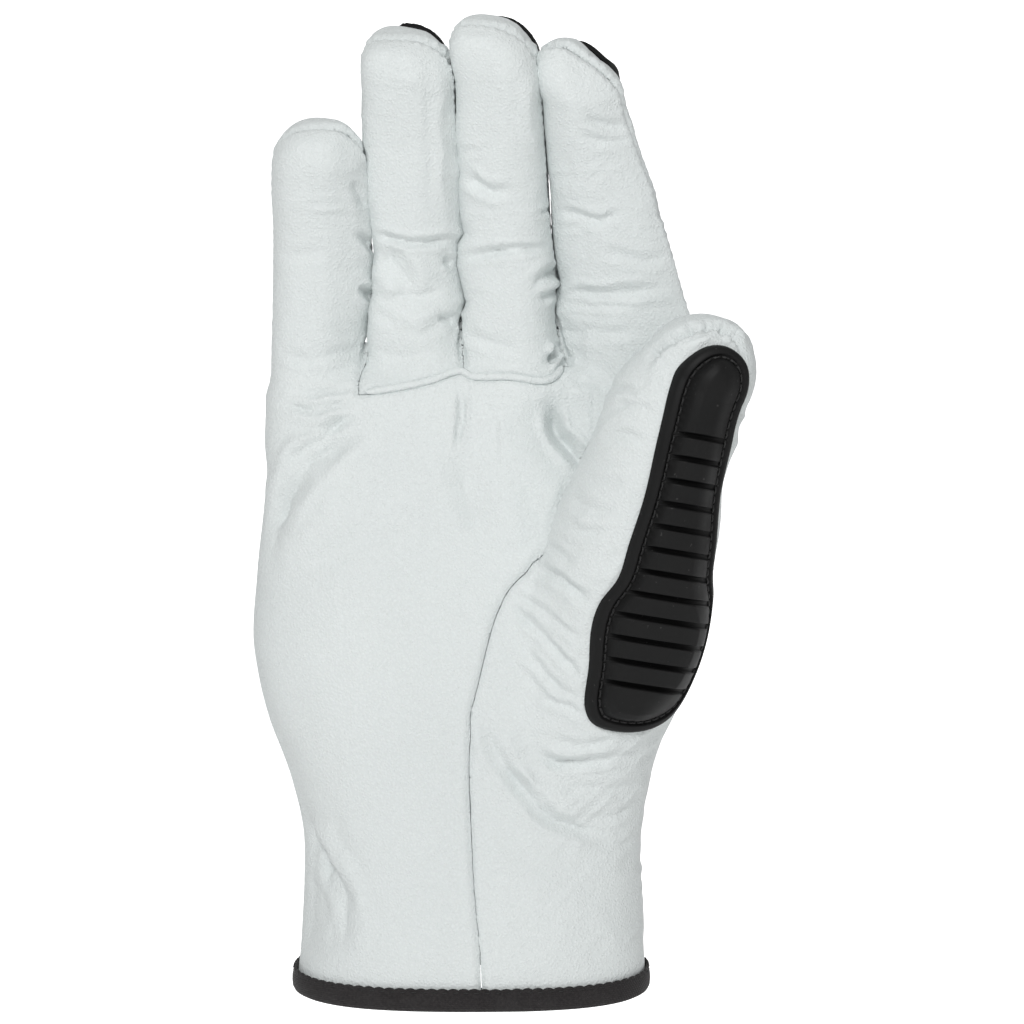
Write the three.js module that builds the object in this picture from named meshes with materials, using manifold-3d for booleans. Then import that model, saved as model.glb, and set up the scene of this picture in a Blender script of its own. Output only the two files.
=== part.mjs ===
import * as THREE from "three";
import { mergeVertices } from "three/addons/utils/BufferGeometryUtils.js";
import Module from "manifold-3d";

// A leather impact glove for the right hand, in the form that it has when it is worn.
// Millimetres: +Z up to the fingertips, palm towards -Y, thumb towards +X, origin in the wrist opening.

// Driving dimensions
const length = 244;
const width = 108;
const depth = 50;
const fingerDepth = 21;
const fingerCurl = 17;
const thumbWidth = 40;
const thumbDepth = 34;
const leather = 1.4;
const seamGap = 0.3;
const bindingHeight = 6;
const bindingThickness = 1;
const weltWidth = 1.5;
const weltRise = 0.9;
const thumbGuardLength = 95;
const thumbGuardWidth = 34;
const handGuardLength = 62;
const handGuardWidth = 66;
const fingerGuardWidth = 14;
const guardFlange = 1.6;
const guardRise = 4.6;
const guardBorder = 3;
const grooveWidth = 1.3;
const grooveDepth = 1.8;
const thumbGrooves = 12;
const fingerGrooves = 3;
const handGrooves = 3;

// How finely the surfaces are divided
const palmSides = 22;
const tubeSides = 12;
const squareness = 2.3;
const domeAngles = [34, 68];
const crumb = 1e-3;

// Flat sections of the hand from the hem up.
// up is a share of length, left and right are shares of width, front and back are shares of depth.
const palmSections = [
  { up: 0.0, left: -0.407, right: 0.407, front: -0.5, back: 0.5 },
  { up: 0.11, left: -0.396, right: 0.397, front: -0.47, back: 0.46 },
  { up: 0.17, left: -0.399, right: 0.391, front: -0.45, back: 0.44 },
  { up: 0.22, left: -0.425, right: 0.402, front: -0.45, back: 0.43 },
  { up: 0.28, left: -0.476, right: 0.42, front: -0.46, back: 0.42 },
  { up: 0.355, left: -0.506, right: 0.425, front: -0.45, back: 0.41 },
  { up: 0.51, left: -0.479, right: 0.5, front: -0.38, back: 0.36 },
  { up: 0.575, left: -0.466, right: 0.53, front: -0.32, back: 0.33 },
  { up: 0.638, left: -0.45, right: 0.52, front: -0.21, back: 0.25 },
  { up: 0.655, left: -0.41, right: 0.47, front: -0.1, back: 0.16 },
];

// Finger stalls: root and tip as shares of width across and of length up, half widths as shares of width,
// bend as a share of fingerCurl, and turn as the degrees by which the thumb's side comes forward.
// dome is the rounded tip's length in half widths, and lean how steeply it leans to the little finger's side.
// guardTop is where the guard ends, past 1 as a share of the rounded tip, and guardAside its place off the
// middle towards the thumb's side as a share of width.
const fingers = [
  {
    name: "little",
    rootAcross: -0.35,
    tipAcross: -0.337,
    rootUp: 0.575,
    tipUp: 0.84,
    rootWide: 0.108,
    tipWide: 0.107,
    bend: 0.8,
    turn: 4,
    dome: 1.08,
    lean: 0,
    guardTop: 1.5,
    guardAside: 0,
  },
  {
    name: "ring",
    rootAcross: -0.124,
    tipAcross: -0.134,
    rootUp: 0.59,
    tipUp: 0.928,
    rootWide: 0.107,
    tipWide: 0.108,
    bend: 1,
    turn: 12,
    dome: 1.12,
    lean: 0.12,
    guardTop: 1.75,
    guardAside: 0.006,
  },
  {
    name: "middle",
    rootAcross: 0.101,
    tipAcross: 0.065,
    rootUp: 0.6,
    tipUp: 0.938,
    rootWide: 0.114,
    tipWide: 0.1,
    bend: 1,
    turn: 15,
    dome: 1.27,
    lean: 0.21,
    guardTop: 1.75,
    guardAside: 0.02,
  },
  {
    name: "index",
    rootAcross: 0.387,
    tipAcross: 0.26,
    rootUp: 0.6,
    tipUp: 0.917,
    rootWide: 0.19,
    tipWide: 0.08,
    bend: 0.95,
    turn: 30,
    dome: 1.4,
    lean: 0.34,
    guardTop: 1.6,
    guardAside: -0.005,
  },
];

// Sections of the thumb from the ball of the thumb to the start of its rounded tip.
// across is a share of width, fore of depth, up of length, wide of thumbWidth and deep of thumbDepth.
const thumbSections = [
  { across: 0.241, fore: 0.02, up: 0.19, wide: 0.36, deep: 0.53 },
  { across: 0.292, fore: -0.14, up: 0.32, wide: 0.515, deep: 0.61 },
  { across: 0.324, fore: -0.22, up: 0.38, wide: 0.56, deep: 0.6 },
  { across: 0.35, fore: -0.31, up: 0.435, wide: 0.54, deep: 0.57 },
  { across: 0.382, fore: -0.42, up: 0.492, wide: 0.49, deep: 0.53 },
  { across: 0.419, fore: -0.51, up: 0.55, wide: 0.425, deep: 0.47 },
  { across: 0.462, fore: -0.58, up: 0.603, wide: 0.41, deep: 0.43 },
  { across: 0.511, fore: -0.62, up: 0.641, wide: 0.34, deep: 0.385 },
];
const thumbTurn = 26;

// Cross folds on the fronts of the finger stalls: along is the share of the stall up from its root.
const fingerFolds = [
  { finger: "little", along: 0.45, dent: 0.6, spread: 0.06 },
  { finger: "ring", along: 0.55, dent: 0.9, spread: 0.05 },
  { finger: "middle", along: 0.5, dent: 0.9, spread: 0.05 },
  { finger: "index", along: 0.34, dent: 1.1, spread: 0.05 },
];

// Long folds on the palm side: ends as shares of width and length, dent in leather thicknesses.
const palmFolds = [
  { fromAcross: -0.47, fromUp: 0.53, toAcross: -0.27, toUp: 0.59, dent: 1.0, spread: 0.035 },
  { fromAcross: 0.0, fromUp: 0.6, toAcross: 0.03, toUp: 0.47, dent: 1.3, spread: 0.05 },
  { fromAcross: 0.0, fromUp: 0.27, toAcross: 0.03, toUp: 0.0, dent: 0.9, spread: 0.03 },
  { fromAcross: -0.39, fromUp: 0.17, toAcross: -0.27, toUp: 0.07, dent: 1.2, spread: 0.035 },
  { fromAcross: 0.08, fromUp: 0.25, toAcross: 0.2, toUp: 0.16, dent: 1.4, spread: 0.04 },
  { fromAcross: 0.2, fromUp: 0.25, toAcross: 0.38, toUp: 0.22, dent: 1.2, spread: 0.035 },
];

const wasm = await Module();
wasm.setup();

const vector = (x, y, z) => new THREE.Vector3(x, y, z);
const radians = THREE.MathUtils.degToRad;
const blend = THREE.MathUtils.lerp;

function solidFrom(geometry, tolerance = 1e-4) {
  geometry.deleteAttribute("normal");
  geometry.deleteAttribute("uv");
  const merged = mergeVertices(geometry, tolerance);
  return new wasm.Manifold(
    new wasm.Mesh({
      numProp: 3,
      vertProperties: merged.attributes.position.array,
      triVerts: new Uint32Array(merged.index.array),
    }),
  );
}

function geometryFrom(solid) {
  const mesh = solid.getMesh();
  const geometry = new THREE.BufferGeometry();
  geometry.setAttribute("position", new THREE.BufferAttribute(mesh.vertProperties, 3));
  geometry.setIndex(new THREE.BufferAttribute(mesh.triVerts, 1));
  geometry.computeVertexNormals();
  return geometry;
}

const joined = (solids) => solids.reduce((sum, solid) => sum.add(solid));

// The largest body of a cut piece, without the crumbs that a cut leaves at a seam's end.
function largestBody(solid) {
  const bodies = solid.decompose();
  return bodies.reduce((best, body) => (body.volume() > best.volume() ? body : best));
}

// A closed body through rings of points that run anticlockwise seen from the last ring.
function loft(rings) {
  const sides = rings[0].length;
  const middles = [rings[0], rings.at(-1)].map((ring) =>
    ring.reduce((sum, point) => sum.add(point), vector(0, 0, 0)).divideScalar(sides),
  );
  const points = [...rings.flat(), ...middles];
  const first = points.length - 2;
  const last = points.length - 1;
  const top = (rings.length - 1) * sides;
  const faces = [];
  for (let side = 0; side < sides; side++) {
    const next = (side + 1) % sides;
    for (let row = 0; row < rings.length - 1; row++) {
      const low = row * sides;
      const high = low + sides;
      faces.push(low + side, low + next, high + next);
      faces.push(low + side, high + next, high + side);
    }
    faces.push(first, next, side);
    faces.push(last, top + side, top + next);
  }
  const geometry = new THREE.BufferGeometry();
  geometry.setAttribute("position", new THREE.Float32BufferAttribute(points.flatMap((p) => p.toArray()), 3));
  geometry.setIndex(faces);
  return solidFrom(geometry);
}

// The point of a rounded-square section at an angle, with half sizes 1.
function sectionPoint(angle) {
  const roundTo = (value) => Math.sign(value) * Math.abs(value) ** (2 / squareness);
  return { across: roundTo(Math.cos(angle)), back: roundTo(Math.sin(angle)) };
}

// How deep the long folds press in at a place of the palm side.
function palmDent(x, z) {
  const place = new THREE.Vector3(x, 0, z);
  let dent = 0;
  for (const fold of palmFolds) {
    const from = vector(fold.fromAcross * width, 0, fold.fromUp * length);
    const to = vector(fold.toAcross * width, 0, fold.toUp * length);
    const nearest = new THREE.Line3(from, to).closestPointToPoint(place, true, vector(0, 0, 0));
    dent += fold.dent * leather * Math.exp(-((nearest.distanceTo(place) / (fold.spread * width)) ** 2));
  }
  return dent;
}

// The hand without its fingers and thumb, grown by an amount on all sides, from one height up.
function palmBody(grow, bottom) {
  const rows = [palmSections[0], ...palmSections];
  const rings = rows.map((row, index) => {
    const z = index === 0 ? bottom : Math.max(row.up * length, 1.5 * bindingHeight);
    const middle = vector(((row.left + row.right) / 2) * width, ((row.front + row.back) / 2) * depth, z);
    const halfWidth = ((row.right - row.left) / 2) * width + grow;
    const halfDepth = ((row.back - row.front) / 2) * depth + grow;
    const ring = [];
    for (let side = 0; side < palmSides; side++) {
      const place = sectionPoint((side / palmSides) * 2 * Math.PI);
      const point = middle.clone().add(vector(place.across * halfWidth, place.back * halfDepth, 0));
      point.y += Math.max(0, -place.back) * palmDent(point.x, point.z);
      ring.push(point);
    }
    return ring;
  });
  const last = rings.at(-1);
  const centre = last.reduce((sum, point) => sum.add(point), vector(0, 0, 0)).divideScalar(palmSides);
  const crown = last.map((point) => point.clone().lerp(centre, 0.5).add(vector(0, 0, 0.008 * length + grow)));
  return loft([...rings, crown]);
}

// How deep a cross fold presses in at a share of the stall's length.
function foldDent(fold, along) {
  return fold.dent * Math.exp(-(((along - fold.along) / fold.spread) ** 2));
}

// A finger stall as a tube: its middle line, half sizes and the frame of each section.
function fingerTube(finger) {
  const root = vector(finger.rootAcross * width, 0.02 * depth, finger.rootUp * length);
  const tip = vector(finger.tipAcross * width, 0, finger.tipUp * length);
  const bend = finger.bend * fingerCurl;
  const middleAt = (along) => {
    const point = root.clone().lerp(tip, along);
    point.y -= bend * along ** 2.6;
    return point;
  };
  const folds = fingerFolds.filter((fold) => fold.finger === finger.name);
  const extra = folds.flatMap((fold) => [fold.along - fold.spread, fold.along, fold.along + fold.spread]);
  const even = [0, 0.33, 0.67, 1].filter((along) => extra.every((other) => Math.abs(other - along) > 0.06));
  return {
    middleAt,
    alongs: [...even, ...extra].sort((a, b) => a - b),
    turn: finger.turn,
    reach: root.distanceTo(tip),
    tipLength: finger.dome * finger.tipWide * width,
    lean: finger.lean,
    guardAside: finger.guardAside * width,
    halfWidth: (along) => blend(finger.rootWide, finger.tipWide, along) * width,
    halfDepth: (along) => blend(0.54, 0.46, along) * fingerDepth,
    dent: (along) => folds.reduce((sum, fold) => sum + foldDent(fold, along), 0),
    seam: (along) => blend(0.25, 0.02, along),
    tipSeam: -0.17,
  };
}

// The thumb as a tube, from inside the ball of the thumb to its tip.
function thumbTube() {
  const spots = thumbSections.map((row) => vector(row.across * width, row.fore * depth, row.up * length));
  const line = new THREE.CatmullRomCurve3(spots);
  const steps = thumbSections.length - 1;
  const valueAt = (column, along) => {
    const low = Math.min(Math.floor(along * steps), steps - 1);
    return blend(thumbSections[low][column], thumbSections[low + 1][column], along * steps - low);
  };
  return {
    middleAt: (along) => line.getPoint(along),
    alongs: thumbSections.map((row, index) => index / steps),
    turn: thumbTurn,
    tipLength: 0.35 * thumbWidth,
    lean: 0,
    halfWidth: (along) => valueAt("wide", along) * thumbWidth,
    halfDepth: (along) => valueAt("deep", along) * thumbDepth,
    dent: () => 0,
  };
}

function frameAt(tube, along) {
  const step = 0.01;
  const from = tube.middleAt(Math.max(0, along - step));
  const ahead = tube.middleAt(Math.min(1, along + step)).sub(from).normalize();
  const across = vector(Math.cos(radians(tube.turn)), -Math.sin(radians(tube.turn)), 0);
  across.addScaledVector(ahead, -across.dot(ahead)).normalize();
  const back = ahead.clone().cross(across);
  return { middle: tube.middleAt(along), ahead, across, back };
}

// How far a tube's tip leans over at a distance past the start of its tip.
function leanOver(tube, forward) {
  return tube.lean * Math.max(0, forward);
}

// A tube's body, grown by an amount, with a rounded tip.
function tubeBody(tube, grow) {
  const ringAt = (along, forward, scale) => {
    const { middle, ahead, across, back } = frameAt(tube, along);
    const ring = [];
    for (let side = 0; side < tubeSides; side++) {
      const place = sectionPoint((side / tubeSides) * 2 * Math.PI);
      const dent = Math.max(0, -place.back) * tube.dent(along);
      const sideways = place.across * (tube.halfWidth(along) + grow) * scale;
      const point = middle.clone().addScaledVector(ahead, forward);
      point.addScaledVector(across, sideways - leanOver(tube, forward));
      point.addScaledVector(back, place.back * (tube.halfDepth(along) + grow) * scale + dent);
      ring.push(point);
    }
    return ring;
  };
  const rings = tube.alongs.map((along) => ringAt(along, along === 0 ? -grow : 0, 1));
  for (const angle of domeAngles.map(radians)) {
    rings.push(ringAt(1, Math.sin(angle) * (tube.tipLength + grow), Math.cos(angle) ** 0.9));
  }
  return loft(rings);
}

// The space in front of a finger stall's side seams, moved back by an amount.
function stallFront(tube, move) {
  const reach = 2 * leather;
  const ringAt = (along, forward, seam) => {
    const { middle, ahead, across, back } = frameAt(tube, along);
    const side = tube.halfWidth(along) + reach;
    const front = -tube.halfDepth(along) - reach;
    const rear = seam * tube.halfDepth(along) + move;
    const corner = (sideways, rearwards) =>
      middle
        .clone()
        .addScaledVector(ahead, forward)
        .addScaledVector(across, sideways - leanOver(tube, forward))
        .addScaledVector(back, rearwards);
    return [corner(side, front), corner(side, rear), corner(-side, rear), corner(-side, front)];
  };
  const rings = tube.alongs.map((along) => ringAt(along, 0, tube.seam(along)));
  rings.push(ringAt(1, tube.tipLength + reach, tube.tipSeam));
  const box = loft(rings);
  return box.intersect(tubeBody(tube, reach / 6));
}

// The space in front of the hand's side seams, moved back by an amount.
function palmFront(move) {
  const far = 2 * depth;
  const rows = [
    { up: -0.05, seam: 0.12 },
    { up: 0.3, seam: 0.12 },
    { up: 0.6, seam: 0.07 },
    { up: 0.72, seam: 0.06 },
  ];
  const rings = rows.map((row) => {
    const z = row.up * length;
    const rear = row.seam * depth + move;
    return [vector(width, -far, z), vector(width, rear, z), vector(-width, rear, z), vector(-width, -far, z)];
  });
  return loft(rings);
}

// A flat outline pushed through the glove from the palm side as far back as given.
// Its first axis is turned from +X towards +Y.
function throughGlove(outline, turned = 0, rear = 2 * depth) {
  const shape = new THREE.Shape(outline);
  const geometry = new THREE.ExtrudeGeometry(shape, { depth: 2 * depth + rear, bevelEnabled: false });
  geometry.rotateX(Math.PI / 2);
  geometry.translate(0, rear, 0);
  geometry.rotateZ(radians(turned));
  return solidFrom(geometry);
}

const place = (across, up) => new THREE.Vector2(across, up);

// The seam at the roots of the ring and middle fingers, as shares of width across and of length up.
const rootSeam = [
  { across: -0.246, up: 0.62 },
  { across: -0.164, up: 0.627 },
  { across: -0.095, up: 0.632 },
  { across: -0.027, up: 0.644 },
  { across: 0.012, up: 0.638 },
  { across: 0.09, up: 0.638 },
  { across: 0.16, up: 0.634 },
  { across: 0.208, up: 0.65 },
];
const rootSeamSteps = 7;

// The thumb's seam down the palm, as shares of width across and of length up.
const thumbSeam = [
  { across: 0.26, up: 0.56 },
  { across: 0.18, up: 0.465 },
  { across: 0.085, up: 0.405 },
  { across: 0.02, up: 0.32 },
  { across: 0.0, up: 0.285 },
  { across: 0.005, up: 0.15 },
  { across: 0.028, up: -0.05 },
];
const thumbSeamSteps = 7;

function seamLine(rows, steps) {
  const places = rows.map((row) => place(row.across * width, row.up * length));
  return new THREE.SplineCurve(places).getPoints(steps);
}

// Bodies from which the panels are cut
const hem = bindingThickness + seamGap;
const tubes = Object.fromEntries(fingers.map((finger) => [finger.name, fingerTube(finger)]));
const thumb = thumbTube();
const allTubes = [...Object.values(tubes), thumb];
const grown = (grow) => joined([palmBody(grow, hem), ...allTubes.map((tube) => tubeBody(tube, grow))]);
const hollow = joined([palmBody(-leather, -depth), ...allTubes.map((tube) => tubeBody(tube, -leather))]);
const shell = grown(0).subtract(hollow);

const halfGap = seamGap / 2;
const frontSpace = (move) =>
  joined([palmFront(move), ...Object.values(tubes).map((tube) => stallFront(tube, move))]);

const rightOfThumbSeam = (move) => {
  const line = seamLine(thumbSeam, thumbSeamSteps).map((point) => place(point.x + move, point.y));
  const top = line[0].y;
  const bottom = line.at(-1).y;
  return throughGlove([...line, place(width, bottom), place(width, top)]);
};

const thumbSpace = (move) =>
  joined([tubeBody(thumb, seamGap + move), palmFront(move).intersect(rightOfThumbSeam(-move))]);

// The seam at the finger roots from one share of it to another, moved up and with its ends moved apart.
function rootLine(move, apart, from, to) {
  const line = seamLine(rootSeam, rootSeamSteps).slice(from * rootSeamSteps, to * rootSeamSteps + 1);
  line.forEach((point) => (point.y += move));
  line[0].x -= apart;
  line.at(-1).x += apart;
  return line;
}

// The space above the seam at the finger roots.
const aboveRoots = (move, apart, from = 0, to = 1) => {
  const line = rootLine(move, apart, from, to);
  const lean = -0.02 * width;
  const top = 1.1 * length;
  return throughGlove([...line, place(line.at(-1).x + lean, top), place(line[0].x + lean, top)]);
};

const sideStalls = (grow) => joined([tubeBody(tubes.little, grow), tubeBody(tubes.index, grow)]);
const weltEdge = weltWidth / 2;

function fingerFront(name, neighbour, from, to) {
  const front = shell.intersect(frontSpace(-halfGap));
  const wall = front.intersect(aboveRoots(weltEdge + seamGap, -halfGap, from, to));
  return wall.subtract(sideStalls(seamGap)).subtract(tubeBody(tubes[neighbour], seamGap));
}

function palmPanel() {
  const fingerFronts = aboveRoots(-weltEdge - seamGap, halfGap).subtract(sideStalls(0));
  return shell.intersect(frontSpace(-halfGap)).subtract(fingerFronts).subtract(thumbSpace(halfGap));
}

function backPanel() {
  return shell.subtract(frontSpace(halfGap)).subtract(thumbSpace(halfGap));
}

function thumbPanel() {
  return shell.intersect(thumbSpace(-halfGap));
}

function fingerBaseWelt() {
  const lower = rootLine(-weltEdge, -halfGap, 0, 1);
  const upper = rootLine(weltEdge, -halfGap, 0, 1).reverse();
  const band = throughGlove([...lower, ...upper]);
  const raised = grown(weltRise).subtract(hollow).intersect(frontSpace(-halfGap));
  return raised.intersect(band).subtract(sideStalls(seamGap));
}

function slab(bottom, top) {
  const reach = 2 * width;
  const corners = [place(-reach, bottom), place(reach, bottom), place(reach, top), place(-reach, top)];
  return throughGlove(corners);
}

// A strip folded round the hem: an outer wall, an inner wall and the fold below the leather.
function cuffBinding() {
  const inside = leather + seamGap;
  const outer = palmBody(seamGap + bindingThickness, 0);
  const strip = outer.subtract(palmBody(-inside - bindingThickness, -depth));
  const groove = palmBody(seamGap, -depth).subtract(palmBody(-inside, -depth));
  return strip.intersect(slab(0, bindingHeight)).subtract(groove.intersect(slab(bindingThickness, depth)));
}

// A moulded guard on the leather: layers, each with its rise over the leather and the space that it
// fills, and grooves cut into the highest one.
function guard(bodyGrown, layers, grooves) {
  const raised = layers.map((layer) => bodyGrown(layer.rise).intersect(layer.space));
  const highest = layers.at(-1).rise;
  const cuts = grooves.subtract(bodyGrown(highest - grooveDepth));
  return joined(raised).subtract(cuts).subtract(bodyGrown(seamGap));
}

// A thin border with a raised pad inside it, both reaching as far back as given.
function borderAndPad(outline, turned, rear) {
  return [
    { rise: guardFlange, space: throughGlove(outline, turned, rear) },
    { rise: guardRise, space: throughGlove(inset(outline, guardBorder), turned, rear) },
  ];
}

// The outline of the thumb's guard from its foot up: along is a share of thumbGuardLength,
// left and right are shares of thumbGuardWidth.
const thumbGuardRows = [
  { along: 0.0, left: -0.23, right: 0.02 },
  { along: 0.07, left: -0.495, right: 0.35 },
  { along: 0.18, left: -0.5, right: 0.47 },
  { along: 0.29, left: -0.508, right: 0.5 },
  { along: 0.4, left: -0.41, right: 0.365 },
  { along: 0.5, left: -0.365, right: 0.325 },
  { along: 0.63, left: -0.295, right: 0.3 },
  { along: 0.78, left: -0.243, right: 0.3 },
  { along: 0.9, left: -0.175, right: 0.37 },
  { along: 0.96, left: -0.1, right: 0.335 },
  { along: 1.0, left: 0.05, right: 0.2 },
];
const thumbGuardMiddle = 0.278;
const thumbGuardFoot = 0.279;
const thumbGuardRear = -0.15;
const grooveSlope = 10.5;
const padLean = 0.65 * guardRise;

// An outline moved inwards by a distance along its own normals.
function inset(outline, distance) {
  return outline.map((point, index) => {
    const before = outline.at(index - 1);
    const after = outline[(index + 1) % outline.length];
    const along = after.clone().sub(before).normalize();
    return place(point.x - along.y * distance, point.y + along.x * distance);
  });
}

// The thumb and its ball, grown; above the border the face leans to the palm's side.
function leaningPad(grow) {
  const body = (by) => joined([palmBody(by, hem), tubeBody(thumb, by)]);
  if (grow <= guardFlange) {
    return body(grow);
  }
  const turn = radians(thumbTurn);
  const aside = [-padLean * Math.cos(turn), -padLean * Math.sin(turn), 0];
  return joined([body(guardFlange), body(grow).intersect(body(grow).translate(aside))]);
}

function thumbGuard() {
  const middle = thumbGuardMiddle * width;
  const foot = thumbGuardFoot * length;
  const at = (row, side) => place(middle + row[side] * thumbGuardWidth, foot + row.along * thumbGuardLength);
  const rightSide = thumbGuardRows.map((row) => at(row, "right"));
  const leftSide = thumbGuardRows.map((row) => at(row, "left")).reverse();
  const outline = [...rightSide, ...leftSide];
  const first = foot + 0.115 * thumbGuardLength;
  const last = foot + 0.775 * thumbGuardLength;
  const cuts = [];
  for (let index = 0; index < thumbGrooves; index++) {
    const up = blend(first, last, index / (thumbGrooves - 1));
    const reach = thumbGuardWidth;
    const drop = reach * Math.tan(radians(grooveSlope));
    const half = grooveWidth / 2;
    cuts.push([
      place(middle - reach, up + drop - half),
      place(middle + reach, up - drop - half),
      place(middle + reach, up - drop + half),
      place(middle - reach, up + drop + half),
    ]);
  }
  const rear = thumbGuardRear * depth;
  return guard(
    leaningPad,
    borderAndPad(outline, thumbTurn, rear),
    joined(cuts.map((cut) => throughGlove(cut, thumbTurn, rear))),
  );
}

// The space behind a stall between two shares of its length, as wide as given.
function stallBack(tube, from, to, wide) {
  const aside = tube.guardAside;
  const ringAt = (along, forward) => {
    const { middle, ahead, across, back } = frameAt(tube, along);
    const corner = (sideways, rearwards) =>
      middle
        .clone()
        .addScaledVector(ahead, forward)
        .addScaledVector(across, sideways + aside - leanOver(tube, forward))
        .addScaledVector(back, rearwards);
    const half = wide / 2;
    return [corner(half, 0), corner(half, fingerDepth), corner(-half, fingerDepth), corner(-half, 0)];
  };
  const forwardAt = (along) => Math.max(0, along - 1) * tube.tipLength;
  const middles = [0.5, 1].filter((along) => along > from && along < to);
  return loft([from, ...middles, to].map((along) => ringAt(Math.min(along, 1), forwardAt(along))));
}

// Where a finger's guard starts, as a share of the stall.
const fingerGuardFrom = 0.26;

function fingerGuard(name) {
  const tube = tubes[name];
  const { guardTop } = fingers.find((finger) => finger.name === name);
  const cuts = [];
  const half = grooveWidth / (2 * tube.reach);
  for (let index = 0; index < fingerGrooves; index++) {
    const along = blend(0.4, 0.88, index / (fingerGrooves - 1));
    cuts.push(stallBack(tube, along - half, along + half, 2 * fingerGuardWidth));
  }
  const space = stallBack(tube, fingerGuardFrom, guardTop, fingerGuardWidth);
  const pad = { rise: guardRise - guardFlange, space };
  return guard((grow) => tubeBody(tube, grow), [pad], joined(cuts));
}

// The guard on the back of the hand: a shield that narrows towards the wrist.
const handGuardRows = [
  { across: -0.28, along: 0 },
  { across: 0.28, along: 0 },
  { across: 0.42, along: 0.12 },
  { across: 0.5, along: 0.68 },
  { across: 0.38, along: 1 },
  { across: -0.38, along: 1 },
  { across: -0.5, along: 0.68 },
  { across: -0.42, along: 0.12 },
];
const handGuardFoot = 0.34;

function handGuard() {
  const foot = handGuardFoot * length;
  const at = (row) => place(row.across * handGuardWidth, foot + row.along * handGuardLength);
  const outline = handGuardRows.map(at);
  const cuts = [];
  for (let index = 0; index < handGrooves; index++) {
    const up = foot + blend(0.2, 0.82, index / (handGrooves - 1)) * handGuardLength;
    const half = grooveWidth / 2;
    cuts.push([
      place(-handGuardWidth, up - half),
      place(handGuardWidth, up - half),
      place(handGuardWidth, up + half),
      place(-handGuardWidth, up + half),
    ]);
  }
  const front = palmFront(0);
  const layers = borderAndPad(outline).map(({ rise, space }) => ({ rise, space: space.subtract(front) }));
  const grooves = joined(cuts.map((cut) => throughGlove(cut))).subtract(front);
  return guard((grow) => palmBody(grow, hem), layers, grooves);
}

const group = new THREE.Group();

function addPiece(name, solid, look) {
  const clean = largestBody(solidFrom(geometryFrom(solid), crumb));
  const mesh = new THREE.Mesh(geometryFrom(clean), look.clone());
  mesh.name = name;
  group.add(mesh);
}

const paleLeather = new THREE.MeshStandardMaterial({ color: 0xe0e6e6, roughness: 0.55, metalness: 0 });
const blackRubber = new THREE.MeshStandardMaterial({ color: 0x202121, roughness: 0.5, metalness: 0 });
const blackCloth = new THREE.MeshStandardMaterial({ color: 0x211d1e, roughness: 0.9, metalness: 0 });

addPiece("palm_panel", palmPanel(), paleLeather);
addPiece("ring_finger_front", fingerFront("ring", "middle", 0, 0.5), paleLeather);
addPiece("middle_finger_front", fingerFront("middle", "ring", 0.5, 1), paleLeather);
addPiece("back_panel", backPanel(), paleLeather);
addPiece("thumb_panel", thumbPanel(), paleLeather);
addPiece("finger_base_welt", fingerBaseWelt(), paleLeather);
addPiece("cuff_binding", cuffBinding(), blackCloth);
addPiece("thumb_guard", thumbGuard(), blackRubber);
for (const name of Object.keys(tubes)) addPiece(name + "_guard", fingerGuard(name), blackRubber);
addPiece("hand_guard", handGuard(), blackRubber);

export default group;
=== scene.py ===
"""A leather impact glove for the right hand: its leather panels, seams, binding and moulded guards.

The leather is one smooth skin worked out from sections of the hand, the fingers and the thumb. It is
folded and creased as the worn glove is, cut along its seams into panels, and each panel gets a thickness.
Shapes are worked out in millimetres and stored in metres: +Z up, palm towards -Y, thumb towards +X.
"""

import math

import bpy
import numpy as np
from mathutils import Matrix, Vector, kdtree


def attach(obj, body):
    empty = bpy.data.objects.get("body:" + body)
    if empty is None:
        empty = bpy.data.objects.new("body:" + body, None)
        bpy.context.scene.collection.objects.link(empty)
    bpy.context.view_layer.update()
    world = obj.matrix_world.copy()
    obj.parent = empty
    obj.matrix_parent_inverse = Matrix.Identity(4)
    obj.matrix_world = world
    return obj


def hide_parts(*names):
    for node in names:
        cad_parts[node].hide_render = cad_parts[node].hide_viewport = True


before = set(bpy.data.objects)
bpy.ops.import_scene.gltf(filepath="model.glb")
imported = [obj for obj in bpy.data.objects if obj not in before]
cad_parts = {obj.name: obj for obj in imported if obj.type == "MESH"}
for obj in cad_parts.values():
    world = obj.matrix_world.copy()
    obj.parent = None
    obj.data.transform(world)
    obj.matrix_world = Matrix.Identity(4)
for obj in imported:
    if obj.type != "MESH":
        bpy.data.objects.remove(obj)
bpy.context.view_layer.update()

# Driving sizes in millimetres
MM = 0.001
LENGTH = 244.0
WIDTH = 108.0
DEPTH = 50.0
FINGER_DEPTH = 21.0
FINGER_CURL = 17.0
THUMB_WIDTH = 40.0
THUMB_DEPTH = 34.0
LEATHER = 1.2
HEM = 1.3
GUARD_RISE = 4.2
MESH_STEP = 1.12


# Camera and stage

VIEW_DISTANCE = 900.0
VIEW_ELEVATION = 5.0
VIEW_TARGET = (10.25, 0.0, 120.0)
VIEW_HEIGHT = 256.0
SENSOR = 36.0


def make_camera():
    camera = bpy.data.cameras.new("camera")
    camera.sensor_width = SENSOR
    camera.lens = SENSOR * VIEW_DISTANCE / VIEW_HEIGHT
    camera.clip_end = 50.0
    holder = bpy.data.objects.new("camera", camera)
    bpy.context.scene.collection.objects.link(holder)
    tilt = math.radians(VIEW_ELEVATION)
    away = Vector((0.0, -math.cos(tilt), math.sin(tilt)))
    holder.location = (Vector(VIEW_TARGET) + away * VIEW_DISTANCE) * MM
    holder.rotation_euler = (math.radians(90.0) - tilt, 0.0, 0.0)
    bpy.context.scene.camera = holder


# Smooth tables of sections

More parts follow.
